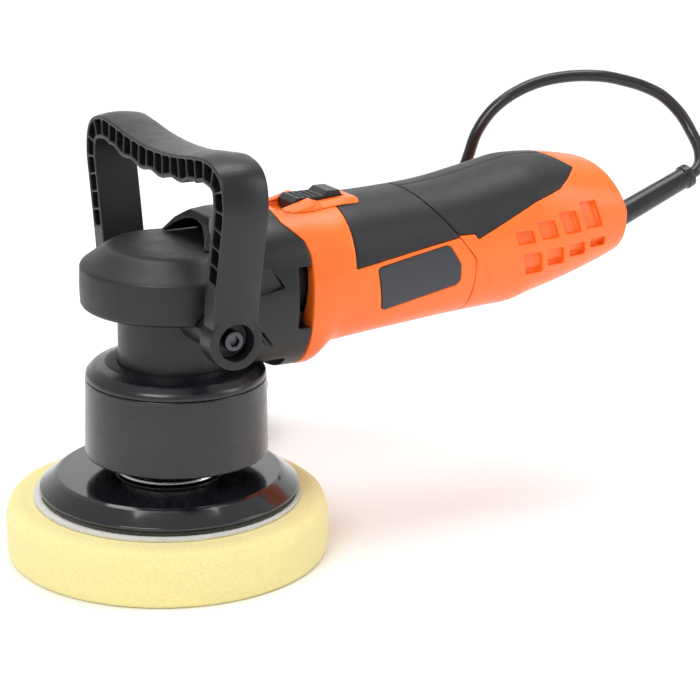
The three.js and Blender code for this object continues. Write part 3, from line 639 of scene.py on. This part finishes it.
def spline(points, steps=8):
    """Centripetal Catmull-Rom through points."""
    p = [np.array(q, float) for q in points]
    p = [2 * p[0] - p[1], *p, 2 * p[-1] - p[-2]]
    out = []
    for i in range(1, len(p) - 2):
        a, b, c, d = p[i - 1:i + 3]
        t0 = 0.0
        t1 = t0 + np.linalg.norm(b - a) ** 0.5
        t2 = t1 + np.linalg.norm(c - b) ** 0.5
        t3 = t2 + np.linalg.norm(d - c) ** 0.5
        for k in range(steps):
            t = t1 + (t2 - t1) * k / steps
            a1 = (t1 - t) / (t1 - t0) * a + (t - t0) / (t1 - t0) * b
            a2 = (t2 - t) / (t2 - t1) * b + (t - t1) / (t2 - t1) * c
            a3 = (t3 - t) / (t3 - t2) * c + (t - t2) / (t3 - t2) * d
            b1 = (t2 - t) / (t2 - t0) * a1 + (t - t0) / (t2 - t0) * a2
            b2 = (t3 - t) / (t3 - t1) * a2 + (t - t1) / (t3 - t1) * a3
            out.append((t2 - t) / (t2 - t1) * b1 + (t - t1) / (t2 - t1) * b2)
    out.append(p[-2])
    return out


def run_length(points):
    p = np.array(points)
    return float(np.linalg.norm(np.diff(p, axis=0), axis=1).sum())


def tail_points():
    """From the top of the coil round over it and into the plug's rear end."""
    start = math.degrees(COIL_START) + 360 * (COIL_TURNS % 1)
    c, s = math.cos(PLUG_TURN), math.sin(PLUG_TURN)
    end = np.array((PLUG_AT[0] + PLUG_REAR * c, PLUG_AT[1] + PLUG_REAR * s, PLUG_AT[2]))
    last = math.degrees(math.atan2(end[1] - COIL_AT[1], end[0] - COIL_AT[0])) + 360
    inner, top = coil_lane(COIL_TURNS)
    over = COIL_TOP + CORD_D / 2
    stations = [(start, inner, top), (start + 20, inner, top + 0.8), (start + 45, inner, top + 3.0),
                (start + 70, inner + 0.3, over - 1.0), (start + 95, inner + 1.2, over + 0.1),
                (last - 110, 33.5, over + 0.6), (last - 82, 40, over + 1.8),
                (last - 54, 46, over + 3.6), (last - 27, 50, over + 6),
                (last - 11, 49, PLUG_AT[2] - 0.4)]
    points = []
    for angle, r, z in stations:
        points.append((COIL_AT[0] + r * math.cos(math.radians(angle)),
                       COIL_AT[1] + r * math.sin(math.radians(angle)), z))
    return spline([*points, end, end - np.array((c, s, 0.0)) * 4], 6)[1:-6]


def cord_line():
    route = [exit_point(RELIEF_LENGTH + GAP), exit_point(RELIEF_LENGTH + 4), *CORD_ROUTE]
    coil = [np.array(p) for p in coil_points(COIL_TURNS)]
    lead = spline([*route, coil[0], coil[3]], 6)[:-6]
    return [*lead, *coil, *tail_points()]


def make_cord():
    line = cord_line()
    print("cord length", round(run_length(line), 1))
    data = bpy.data.curves.new("cord", "CURVE")
    data.dimensions = "3D"
    run = data.splines.new("POLY")
    run.points.add(len(line) - 1)
    for point, p in zip(run.points, line):
        point.co = (*(float(c) * MM for c in p), 1.0)
    data.bevel_depth = CORD_D / 2 * MM
    data.bevel_resolution = 5
    data.use_fill_caps = True
    cord = bpy.data.objects.new("mains_lead", data)
    bpy.context.scene.collection.objects.link(cord)
    data.materials.append(PVC)
    run.use_smooth = True
    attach(cord, "housing")
    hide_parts("cord", "cord_coil")
    return cord, run_length(line) * MM


def make_plug():
    place = Matrix.Translation(PLUG_AT) @ Matrix.Rotation(PLUG_TURN, 4, "Z")
    stations = [(34, 4.6, 4.6), (33, 5, 5), (30, 5.6, 5.6), (26, 9, 8), (18, 10.6, 8.4), (4, 13, 9),
                (-0.5, 16.4, 10.6), (-2, 17, 11), (-11, 17, 11), (-12, 16.2, 10.2)]
    rings = []
    for x, wide, high in stations:
        ring = []
        for j in range(64):
            angle = 2 * math.pi * j / 64
            c, s = math.cos(angle), math.sin(angle)
            ring.append(place @ Vector((x, wide * math.copysign(abs(c) ** 0.85, c),
                                        high * math.copysign(abs(s) ** 0.85, s))))
        rings.append(ring)
    body = soften(skin("plug", rings), 0.5, 4)
    body = piece(body, "plug_body", "pvc_black", "housing", "mains_plug")
    pins = []
    for y in (-9.5, 9.5):
        axis = place @ Matrix.Translation((0, y, 0)) @ Matrix.Rotation(-math.pi / 2, 4, "Y")
        pins.append(lathe("pin", [(0, 11.5), (2.6, 11.5), (2.6, 21), (2.35, 21.4), (2.35, 30, 1.2),
                                  (0, 31)], sides=32, place=axis))
    first = pins[0]
    union(first, pins[1])
    piece(first, "plug_pins", "brass", "housing", angle=40)
    return body, first


def make_relief():
    end = RELIEF_LENGTH
    profile = [(0, -12), (EXIT_R - GAP, -12, 0.5), (EXIT_R - GAP, 4, 1), (5.6, end - 5.4, 0.6),
               (6.5, end - 4.8, 0.4), (6.5, end - 1.2, 0.7), (5.0, end, 0.3), (0, end)]
    relief = lathe("relief", profile, sides=72, place=EXIT_AXIS)
    return piece(relief, "cord_sleeve", "pvc_black", "housing", "strain_relief", angle=60)


def make_tie():
    """A hook-and-loop strap round the coil."""
    half = 1.5 * CORD_D + 0.9
    outline = rounded([(-half - 0.9, 0, 3), (half + 0.9, 0, 3), (half + 0.9, COIL_TOP + 1.2, 3),
                       (-half - 0.9, COIL_TOP + 1.2, 3)])
    inner = rounded([(-half, 0.8, 2.4), (half, 0.8, 2.4), (half, COIL_TOP + 0.4, 2.4),
                     (-half, COIL_TOP + 0.4, 2.4)])
    strap = cut(sideways(outline, -4, 4), sideways(inner, -9, 9))
    strap.data.transform(Matrix.Translation(((COIL_AT[0] - COIL_R) * MM, COIL_AT[1] * MM, 0)))
    bevel = strap.modifiers.new("bevel", "BEVEL")
    bevel.width = 0.2 * MM
    bevel.segments = 2
    settle(strap)
    return piece(strap, "coil_strap", "plastic_black", "housing", "coil_tie", look=HOOK, angle=40)


relief = make_relief()
cord, cord_m = make_cord()
plug_body, plug_pins = make_plug()
strap = make_tie()


# -------------------------------------------------- pad
def make_pad():
    top, r = FOAM_TOP, FOAM_R
    outline = rounded([(0, 0), (r - 0.4, 0, 2.6), (r, 8, 4), (r, 20, 5), (r - 2.2, top - 1.1, 2.4),
                       (r - 6, top, 1.5), (0, top)], 9)
    foam = lathe("foam", outline, x=FOAM_X, sides=360)
    remesh = foam.modifiers.new("remesh", "REMESH")
    remesh.mode = "VOXEL"
    remesh.voxel_size = 0.9 * MM
    smooth = foam.modifiers.new("smooth", "SMOOTH")
    smooth.factor = 0.5
    smooth.iterations = 3
    settle(foam)
    co = points_of(foam)
    count = len(co)
    rng = np.random.default_rng(SEED)
    offset = np.zeros(count)
    for wave, size in ((0.045, 0.30), (0.018, 0.16), (0.0065, 0.10), (0.0028, 0.07)):
        for _ in range(7):
            direction = rng.normal(size=3)
            direction /= np.linalg.norm(direction)
            offset += size / 3 * np.sin(co @ direction * 2 * math.pi / wave + rng.uniform(0, 6.28))
    offset += rng.normal(scale=0.045, size=count)
    middle = np.array((FOAM_X * MM, 0, 0))
    flat = co - middle
    radial = flat.copy()
    radial[:, 2] = 0
    distance = np.linalg.norm(radial, axis=1)
    radial /= np.maximum(distance, 1e-6)[:, None]
    rim = np.clip((distance - 0.066) / 0.008, 0, 1)
    upper = np.clip((co[:, 2] - 0.002) / 0.004, 0, 1)
    co += radial * (offset * MM * rim * upper)[:, None]
    lift = np.clip((co[:, 2] - 0.022) / 0.004, 0, 1) * np.clip((distance - 0.0675) / 0.003, 0, 1)
    co[:, 2] += offset * MM * 0.6 * lift
    move_points(foam, co)
    piece(foam, "foam_disc", "foam", "pad", "foam_pad")

    def fuzzy(name, r, z0, z1, x, amount, slot, node):
        ring = lathe(name, [(0, z0), (r * 0.5, z0), (r - 3, z0), (r, z0, 0.4), (r, z1, 0.4),
                            (r - 3, z1), (r * 0.5, z1), (0, z1)], x=x, sides=720)
        c = points_of(ring)
        out = c - np.array((x * MM, 0, 0))
        out[:, 2] = 0
        d = np.linalg.norm(out, axis=1)
        at_rim = d > (r - 1.2) * MM
        push = rng.normal(scale=amount, size=len(c)) * MM * at_rim
        c += out / np.maximum(d, 1e-6)[:, None] * np.clip(push, -0.6 * MM, 0.4 * MM)[:, None]
        move_points(ring, c)
        piece(ring, name, slot, "pad", node)

    loop_top = FOAM_TOP + GAP + 1.3
    fuzzy("loop_disc", LOOP_R, FOAM_TOP + 0.1, loop_top, FOAM_X, 0.16, "loop_cloth", "loop_layer")
    fuzzy("hook_disc", PLATE_R - 0.8, loop_top + 0.05, PLATE_BOTTOM - 0.05, PAD_X, 0.22,
          "hook_cloth", "hook_layer")
    plate = lathe("plate", [
        (0, PLATE_BOTTOM), (PLATE_R - 1, PLATE_BOTTOM, 0.4), (PLATE_R, PLATE_BOTTOM + 1.0, 0.7),
        (PLATE_R - 0.2, PLATE_BOTTOM + 2.2, 0.8), (PLATE_TOP_R + 1.2, PLATE_TOP - 0.9, 1.2),
        (PLATE_TOP_R - 0.6, PLATE_TOP, 0.8), (12.3, PLATE_TOP, 0.3), (12.3, 35.2), (0, 35.2),
    ], x=PAD_X, sides=288)
    piece(plate, "plate_disc", "plate_gloss", "pad", "backing_plate", angle=40)
    hub = lathe("hub", [
        (0, 35.5), (12, 35.5), (12, PLATE_TOP + GAP), (25, PLATE_TOP + GAP, 0.2), (26, 40.4, 0.4),
        (25.4, 41.7, 0.4), (9.5, 41.7, 0.2), (9.5, 42.6, 0.2), (4, 42.6), (4, 52), (0, 52),
    ], x=PAD_X)
    piece(hub, "plate_flange", "steel", "pad", "plate_hub", angle=40)


# -------------------------------------------------- head, shroud and handle
def make_shroud():
    r = SHROUD_R
    skirt = lathe("skirt", [
        (r - 2.4, SHROUD_BOTTOM, 0.8), (r, SHROUD_BOTTOM, 1.0), (r - 0.8, SHROUD_SEAM - GAP, 0.7),
        (r - 3.2, SHROUD_SEAM - GAP, 0.3),
    ], sides=288)
    piece(skirt, "skirt", "plastic_black", "housing", "shroud_skirt", look=SATIN, angle=50)
    cap = lathe("cap", [
        (NECK_R + GAP, SHROUD_TOP - 3), (NECK_R + GAP, SHROUD_TOP, 0.4), (34, SHROUD_TOP, 3),
        (39.2, 92.8, 5), (r - 1.1, 89.2, 4), (r - 0.8, SHROUD_SEAM, 0.5),
        (r - 3.4, SHROUD_SEAM, 0.3),
        (39, 89.6, 2), (36.4, SHROUD_TOP - 3, 0.5),
    ], sides=288)
    piece(cap, "cap", "plastic_black", "housing", "shroud_cap", look=SATIN, angle=50)


def plan_ring(z, r):
    """The head's outline at a height: round in front, with straight sides to its rear."""
    rear, sides = HEAD_REAR + 3, 120
    ring = []
    for i in range(sides // 2 + 1):
        angle = math.pi / 2 + math.pi * i / (sides // 2)
        ring.append((r * math.cos(angle), r * math.sin(angle), z))
    ring += [(rear * k, -r * (1 - 0.1 * k), z) for k in (0.33, 0.66, 1.0)]
    ring += [(rear * k, r * (1 - 0.1 * k), z) for k in (1.0, 0.66, 0.33)]
    return ring


def make_head():
    rings = [(HEAD_BOTTOM, -1.6), (HEAD_BOTTOM + 0.8, -0.5), (HEAD_BOTTOM + 1.8, 0), (132, 0.25),
             (140.8, 0), (141.9, -0.5), (142.8, -1.7), (149.2, -10.6), (150.4, -12.8),
             (150.9, -15.5), (151.3, -24)]
    form = skin("head", [plan_ring(z, HEAD_R + d) for z, d in rings])
    head = cut(
        form,
        lathe("t", disc(NECK_R + GAP, 80, 130)),
        lathe("t", disc(40.9, 100, 140.3)),
        lathe("t", disc(33.4, 120, 146.3)),
        block(HEAD_REAR - GAP, BIG, -BIG, BIG, 0, BIG),
        block(0, BIG, -30.5, 30.5, 90, 146.3),
        *[rod_y(LUG_HOLE_R, BOLT_X, BOLT_Z, s * 20, s * 60) for s in (-1, 1)],
    )
    soften(head, 0.55, 3)
    piece(head, "head_shell", "rubber_black", "housing", "head_cover")


def handle_line(count):
    """The middle of the handle's bow as (y, z) with its directions, from foot to foot."""
    top = HANDLE_TOP - HANDLE_T / 2
    half = [
        (HANDLE_FOOT_Y - 0.5, BOLT_Z - 2), (HANDLE_FOOT_Y, BOLT_Z + 12), (HANDLE_FOOT_Y + 3.2, 150),
        (HANDLE_WIDE_Y - 3, 167), (HANDLE_WIDE_Y, top - 14), (HANDLE_WIDE_Y - 2.8, top - 4.2),
        (HANDLE_WIDE_Y - 13, top - 0.6), (HANDLE_WIDE_Y - 27, top - 1.6), (24, top - 4.2),
    ]
    run = spline([(y, z, 0) for y, z in half] + [(0, top - 5.4, 0)]
                 + [(-y, z, 0) for y, z in reversed(half)], 24)
    run = np.array(run)[:, :2]
    along = np.concatenate([[0], np.cumsum(np.linalg.norm(np.diff(run, axis=0), axis=1))])
    at = np.linspace(0, along[-1], count)
    p = np.stack([np.interp(at, along, run[:, k]) for k in (0, 1)], 1)
    t = np.gradient(p, axis=0)
    t /= np.linalg.norm(t, axis=1)[:, None]
    return p, t


HANDLE_CELLS = 27
CELL_ENDS = (0.1, 0.9)               # shares of the bow's length
CELL_FLOOR = 4.0
CELL_RIM = 2.0
CROWN, CROWN_EDGE = 1.5, 0.4         # the outside is higher in the middle and lower at its edges
FINGER_BUMP, FINGER_PITCH, FINGER_REACH = 0.8, 21.0, 48.0
FOOT_R = 12.9                        # round foot, and the recess and hole for its screw
RECESS_R, SCREW_HOLE_R = 8.6, 3.4


def make_handle():
    def offset(place, turn, rim):
        """Points at the outside and the inside of the bow, `rim` under its surface."""
        (y, z), (ty, tz) = place, turn
        wave = 1 - math.cos(2 * math.pi * y / FINGER_PITCH)
        bump = FINGER_BUMP * wave if abs(y) < FINGER_REACH else 0.0
        out, back = HANDLE_T / 2 - rim, HANDLE_T / 2 - rim + bump
        return (y + tz * out, z - ty * out), (y - tz * back, z + ty * back)

    p, t = handle_line(271)
    middle, half = (HANDLE_X0 + HANDLE_X1) / 2, (HANDLE_X1 - HANDLE_X0) / 2
    rings = []
    for place, turn in zip(p, t):
        ring = []
        for x in np.linspace(HANDLE_X0, HANDLE_X1, 13):
            crown = CROWN * (1 - ((x - middle) / half) ** 2) - CROWN_EDGE
            (y, z), _ = offset(place, turn, -crown)
            ring.append((x, y, z))
        _, (y, z) = offset(place, turn, 0)
        ring += [(x, y, z) for x in np.linspace(HANDLE_X1, HANDLE_X0, 7)]
        rings.append(ring)
    bow = common(skin("bow", rings),
                 block(HANDLE_X0 - 1, HANDLE_X1 + 1, -BIG, BIG, BOLT_Z, BIG))
    foot = HANDLE_FOOT_Y + HANDLE_T / 2
    union(bow, *[rod_y(FOOT_R, BOLT_X, BOLT_Z, s * (foot - 12), s * foot, 96) for s in (-1, 1)])
    pitch = (CELL_ENDS[1] - CELL_ENDS[0]) * (len(p) - 1) / HANDLE_CELLS
    for i in range(HANDLE_CELLS):
        start = CELL_ENDS[0] * (len(p) - 1) + i * pitch
        sides = [offset(p[k], t[k], CELL_RIM)
                 for k in (round(start + share * pitch) for share in (0, 0.44, 0.88))]
        outline = [side[0] for side in sides] + [side[1] for side in reversed(sides)]
        cut(bow, endways(outline, HANDLE_X0 - 1, CELL_FLOOR))
    cut(bow, *[rod_y(RECESS_R, BOLT_X, BOLT_Z, s * (foot - 8), s * (foot + 6)) for s in (-1, 1)],
        *[rod_y(SCREW_HOLE_R, BOLT_X, BOLT_Z, s * 40, s * foot) for s in (-1, 1)])
    soften(bow, 0.45, 3)
    piece(bow, "handle", "plastic_black", "housing", "d_handle")
    for side, s in SIDES:
        place = (Matrix.Translation((BOLT_X, 0, BOLT_Z))
                 @ Matrix.Rotation(-s * math.pi / 2, 4, "X"))
        screw = lathe("screw", [(0, 34), (3, 34, 0.3), (3, foot - 7.7), (4.7, foot - 7.7, 0.3),
                                (4.7, foot - 2.4, 0.7), (0, foot - 2.4)], sides=64, place=place)
        socket = lathe("hex", disc(2.6, foot - 5.2, foot + 1), sides=6, place=place)
        cut(screw, socket)
        bevel = screw.modifiers.new("bevel", "BEVEL")
        bevel.width = 0.15 * MM
        bevel.segments = 2
        bevel.limit_method = "ANGLE"
        bevel.angle_limit = math.radians(40)
        settle(screw)
        piece(screw, f"screw_{side}", "steel", "housing", f"handle_screw_{side}",
              look=STEEL_DARK, angle=35)


# -------------------------------------------------- motor body
def before_collar(shift):
    return sideways([
        (-BIG, -BIG), (COLLAR_X + shift, -BIG), (COLLAR_X + shift, 146),
        (COLLAR_X - 1.5 + shift, 152), (COLLAR_X - 9 + shift, 159.5), (COLLAR_X - 10 + shift, 180),
        (COLLAR_X - 10 + shift, BIG), (-BIG, BIG),
    ])


def before_seam(shift):
    return sideways([
        (-BIG, -BIG), (SEAM_X + shift, -BIG), (SEAM_X + shift, SEAM_Z),
        (SEAM_X + shift - SEAM_LEAN * 60, SEAM_Z + 60), (-BIG, SEAM_Z + 60),
    ])


def above_grip(shift):
    return sideways([(GRIP_X + shift, 137 + shift), (150, 147.5 + shift), (150, BIG),
                     (GRIP_X + shift, BIG)])


def above_tail(shift):
    """Where the tail grip lies: it ends in two horns round a bite."""
    return cut(
        sideways([
            (100, 146.6 + shift), (146.4, 146.6 + shift), (148.2, 143.8 + shift),
            (184, 159 + shift), (199, 163.4 + shift), (209.6, 169.2 + shift),
            (214.5 - shift, 171.3 + shift), (214.5 - shift, BIG), (100, BIG),
        ]),
        lathe("t", disc(TAIL_BITE_R + shift, 0, BIG), x=TAIL_X + TAIL_BITE_R),
    )


def before_end(shift):
    """The rear face leans forward above the cord exit."""
    return sideways([
        (-BIG, -BIG), (REAR_X + 1, -BIG), (REAR_X + shift, 120), (REAR_X + shift, 148),
        (REAR_X - 7 + shift, 166), (REAR_X - 12 + shift, 176), (REAR_X - 12 + shift, BIG),
        (-BIG, BIG),
    ])


SWITCH_X0, SWITCH_X1 = 50.0, 87.0


def switch_slot(grow):
    return block(SWITCH_X0 - grow, SWITCH_X1 + grow, -8 - grow, 8 + grow, 160.9 - grow, BIG)


LABEL = [(91, 134.6), (92.3, 136), (129.5, 142.3), (132, 141.5), (137.8, 132.3), (138.2, 124.6),
         (136.2, 122.2), (96.2, 114.2), (94.4, 115.2)]
LABEL_MIDDLE = (115, 129)
GRIP_DEPTH = 2.2                     # the grip's thickness here, with its key into the housing


def badge(grow, y0=-BIG, y1=BIG):
    return sideways([(x + grow * math.copysign(1, x - LABEL_MIDDLE[0]),
                      z + grow * math.copysign(1, z - LABEL_MIDDLE[1])) for x, z in LABEL], y0, y1)


def make_adapter():
    front = sideways([
        (HEAD_REAR, BIG), (HEAD_REAR, HEAD_BOTTOM - GAP), (-7, HEAD_BOTTOM - GAP), (10, 98.5),
        (13, SHROUD_TOP + 1.2), (44.8, SHROUD_TOP + 1.2), (46.5, 80), (BIG, 80), (BIG, BIG),
    ])
    slots = [block(COLLAR_X - 7.5, COLLAR_X + 5, *sorted((s * 26, s * 60)), 111.5, 141)
             for s in (-1, 1)]
    hump = common(
        sideways([
            (4, HEAD_TOP + GAP), (7.5, 157), (10.5, 161.5), (13, 163.8), (20, 165.2), (36, 165),
            (COLLAR_X, 163.4), (COLLAR_X, 150), (HEAD_REAR, 150), (HEAD_REAR, HEAD_TOP + GAP),
        ]),
        endways([(-26, 150), (-19, 158.5), (-8, 165.4), (8, 165.4), (19, 158.5), (26, 150)],
                0, COLLAR_X),
    )
    form = union(common(body_form(-9.9, COLLAR_X + 4), front), hump)
    common(form, before_collar(-GAP / 2))
    outlines = [([(24.5, 151), (27.6, 151), (40, 132.6), (28.2, 130.4), (24.5, 133)], 33.2),
                ([(26, 112), (28.5, 112.6), (43.2, 92.4), (41.2, 91)], 31.5)]
    pockets = [sideways(outline, *sorted((s * floor, s * 60)))
               for s in (-1, 1) for outline, floor in outlines]
    adapter = cut(
        form,
        lathe("t", disc(NECK_R + GAP, 80, 130)),
        lathe("t", disc(40.9, HEAD_BOTTOM, 146.3)),
        lathe("t", disc(29.5, -20, 70), place=MOTOR_AXIS),
        *[rod_y(LUG_HOLE_R, BOLT_X, BOLT_Z, s * 20, s * 60) for s in (-1, 1)],
        *slots, *pockets,
    )
    soften(adapter, 0.55, 4)
    piece(adapter, "adapter", "gear_case_black", "housing", "adapter_housing")


def make_motor_housing():
    main = common(body_form(40, SEAM_X + 3), before_seam(-GAP / 2))
    pocket = cut(above_grip(-GAP), body_form(GRIP_X - 20, SEAM_X + 3, -GRIP_DEPTH - 0.4))
    recess = cut(badge(GAP), body_form(80, SEAM_X + 3, -1.3))
    housing = cut(
        main, before_collar(GAP / 2), pocket, recess,
        lathe("t", disc(BORE_R, 22, 170), place=MOTOR_AXIS), switch_slot(GAP),
    )
    soften(housing, 0.55, 5)
    piece(housing, "housing_front", "plastic_orange", "housing", "motor_housing")
    grip = common(body_form(40, SEAM_X + 3), above_grip(0), before_seam(-GAP / 2))
    cut(grip, body_form(GRIP_X - 20, SEAM_X + 3, -GRIP_DEPTH), switch_slot(GAP))
    soften(grip, 0.5, 4)
    piece(grip, "grip_front", "rubber_black", "housing", "motor_grip")
    for side, s in SIDES:
        plate = common(badge(0, *sorted((s * 20.0, s * 60.0))), body_form(80, SEAM_X + 2, 0.1))
        cut(plate, body_form(80, SEAM_X + 3, -1.1))
        soften(plate, 0.3, 2)
        piece(plate, f"label_{side}", "plastic_dark", "housing", f"label_plate_{side}")


END_WALL, REAR_WALL = 4.5, 5.0
VENT_WIDTH = 10.4
VENT_DEPTH, MARK_DEPTH = 3.0, 0.7


def vents():
    """Sloping pockets in two rows of four on each side, and a shallow mark by the seam."""
    pockets = []
    for i in range(4):
        rows = [
            (171.6 + i * 14.1, 138.4 + i * 1.2, 145 + i * 3.6, 0.4),
            (178 + i * 13.2, 122.2 + i * 3.1, 133.2 + i, 0.3),
        ]
        for x, low, high, lean in rows:
            top = x - lean * (high - low)
            pockets.append(sideways([(x, low), (x + VENT_WIDTH, low), (top + VENT_WIDTH, high),
                                     (top, high)], -60, 60))
    union(*pockets)
    cut(pockets[0], body_form(SEAM_X - 50, REAR_X, -VENT_DEPTH))
    mark = sideways([(150.4, 132.2), (152.6, 132.2), (157, 121), (155, 121)], -60, 60)
    cut(mark, body_form(SEAM_X - 50, REAR_X, -MARK_DEPTH))
    return pockets[0], mark


def make_rear():
    for side, s in SIDES:
        def clip():
            return block(0, BIG, -BIG if s < 0 else GAP / 2, -GAP / 2 if s < 0 else BIG, 0, BIG)
        shell = common(body_form(SEAM_X - 50, REAR_X), clip(), before_end(0))
        pocket = cut(above_tail(-GAP), body_form(SEAM_X - 60, REAR_X + 4, -GRIP_DEPTH - 0.4))
        cut(
            shell, before_seam(GAP / 2),
            common(body_form(SEAM_X - 60, REAR_X - END_WALL, -REAR_WALL), before_end(-END_WALL)),
            pocket,
            lathe("t", disc(BORE_R, 100, 147), place=MOTOR_AXIS),
            block(DIAL_X + 5, REAR_X + 6, -10.8, 10.8, DIAL_Z - 4, DIAL_Z + 4),
            lathe("t", disc(EXIT_R, -13, 12), place=EXIT_AXIS), *vents(),
        )
        soften(shell, 0.5, 3)
        piece(shell, f"housing_rear_{side}", "plastic_orange", "housing", f"rear_shell_{side}")
        grip = common(body_form(SEAM_X - 50, REAR_X), clip(), above_tail(0))
        cut(grip, before_seam(GAP / 2), body_form(SEAM_X - 60, REAR_X + 4, -GRIP_DEPTH))
        soften(grip, 0.5, 4)
        piece(grip, f"grip_rear_{side}", "rubber_black", "housing", f"rear_grip_{side}")


def make_switch():
    stations = [(47, 158), (52, 163.6), (66, 167.5), (71, 165.6), (84, 166.8), (91, 166.4),
                (95, 162)]
    rings = []
    for x in np.linspace(47, 95, 49):
        z = float(np.interp(x, *zip(*stations)))
        rings.append([(x, y, z + h) for y, h in ((-16, -8), (-14.5, -2.4), (-11.5, 0), (11.5, 0),
                                                 (14.5, -2.4), (16, -8))])
    surround = skin("surround", rings)
    cut(surround, body_form(40, 100, 0.1), block(40, SWITCH_X0 + 6, -8, 8, 100, BIG),
        switch_slot(0))
    soften(surround, 0.35, 2)
    piece(surround, "switch_wings", "plastic_orange", "housing", "switch_surround")
    button = sideways([(58.5, 161.2), (58.5, 165.5), (61, 167.6), (75, 167.6), (77.5, 169.6),
                       (84, 169.6), (86.5, 164.5), (86.5, 161.2)], -7.6, 7.6)
    cut(button, *[block(x, x + 1.4, -6.4, 6.4, 166.7, BIG) for x in (63, 66, 69, 72)])
    soften(button, 0.3, 3)
    piece(button, "slider", "plastic_black", "switch", "switch_slider")


def make_dial():
    wheel = lathe("wheel", [(2.4, DIAL_Z - 3.6, 0.2), (DIAL_R - 0.6, DIAL_Z - 3.6, 0.4),
                            (DIAL_R - 0.6, DIAL_Z + 3.6, 0.4), (2.4, DIAL_Z + 3.6, 0.2)],
                  sides=96, x=DIAL_X)
    teeth = []
    for k in range(30):
        angle = 2 * math.pi * k / 30
        bar = block(DIAL_R - 1.4, DIAL_R - 0.05, -0.55, 0.55, DIAL_Z - 3.2, DIAL_Z + 3.2)
        bar.data.transform(Matrix.Translation((DIAL_X * MM, 0, 0)) @ Matrix.Rotation(angle, 4, "Z"))
        teeth.append(bar)
    union(wheel, *teeth)
    piece(wheel, "dial_wheel", "plastic_black", "dial", "speed_dial", angle=40)


def finish_cad_nodes():
    """CAD nodes that stay get their slot's look, welded corners and smooth round faces."""
    slots = {s["node"]: s["material_slot"] for s in frame["record"]["subparts"]}
    laminated = ("stator_core", "rotor_core")
    for name, node in frame["nodes"].items():
        if node.hide_render:
            continue
        look = LAMINATED if name in laminated else LOOKS[slots[name]]
        if not node.data.materials:
            node.data.materials.append(look)
        for k in range(len(node.data.materials)):
            node.data.materials[k] = look
        node.data.polygons.foreach_set("use_smooth", [True] * len(node.data.polygons))
        weld = node.modifiers.new("weld", "WELD")
        weld.merge_threshold = 1e-5
        split = node.modifiers.new("split", "EDGE_SPLIT")
        split.split_angle = math.radians(32)


make_pad()
make_shroud()
make_head()
make_handle()
make_adapter()
make_motor_housing()
make_rear()
make_switch()
make_dial()
finish_cad_nodes()


# -------------------------------------------------- room and light
def make_room():
    """One sheet, curved up from the floor into a back wall. Room and lights are in metres."""
    wide, deep, high = 3.0, 2.6, 2.4
    front, bend = -1.6, 0.7
    rows = []
    for k in range(25):
        t = k / 24
        if t < 0.5:
            rows.append((front + t * 2 * deep, 0.0))
        else:
            turn = min(1.0, (t - 0.5) * 4) * math.pi / 2
            rise = max(0.0, (t - 0.75) * 4) * high
            rows.append((front + deep + bend * math.sin(turn), bend * (1 - math.cos(turn)) + rise))
    points, faces = [], []
    for y, z in rows:
        points += [(-wide / MM, y / MM, z / MM), (wide / MM, y / MM, z / MM)]
    for k in range(len(rows) - 1):
        faces.append([2 * k, 2 * k + 1, 2 * k + 3, 2 * k + 2])
    sweep = mesh_of("backdrop", points, faces)
    sweep.matrix_world = Matrix.Rotation(CAMERA_TURN, 4, "Z")
    n = Nodes("pale_floor")
    n.link(n.ramp(n.noise(3.0), (0.3, (0.93, 0.93, 0.93)), (0.7, (0.96, 0.96, 0.96))),
           n.shader.inputs["Base Color"])
    n.link(n.between(n.noise(30.0), 0.55, 0.65), n.shader.inputs["Roughness"])
    n.shader.inputs["Specular IOR Level"].default_value = 0.25
    sweep.data.materials.append(n.material)
    smooth_shading(sweep)


def area(name, at, to, size, power):
    data = bpy.data.lights.new(name, "AREA")
    data.shape = "RECTANGLE"
    data.size, data.size_y = size
    data.energy = power
    light = bpy.data.objects.new(name, data)
    light.location = at
    light.rotation_euler = (Vector(to) - Vector(at)).to_track_quat("-Z", "Y").to_euler()
    bpy.context.scene.collection.objects.link(light)


SKY = 0.55                           # strength of the even white light from all round


def make_light():
    world = bpy.data.worlds.new("studio")
    world.use_nodes = True
    world.node_tree.nodes["Background"].inputs["Color"].default_value = (1, 1, 1, 1)
    world.node_tree.nodes["Background"].inputs["Strength"].default_value = SKY
    bpy.context.scene.world = world
    area("key", (-1.3, -0.9, 1.5), (0, 0, 0.1), (1.1, 1.1), 22)
    area("top", (0.2, 0.3, 1.7), (0.1, 0, 0.1), (1.4, 1.0), 16)
    area("side", (1.3, -1.0, 0.8), (0.1, 0, 0.1), (0.6, 1.2), 6)
    bpy.context.scene.view_settings.view_transform = "Standard"


make_room()
make_light()
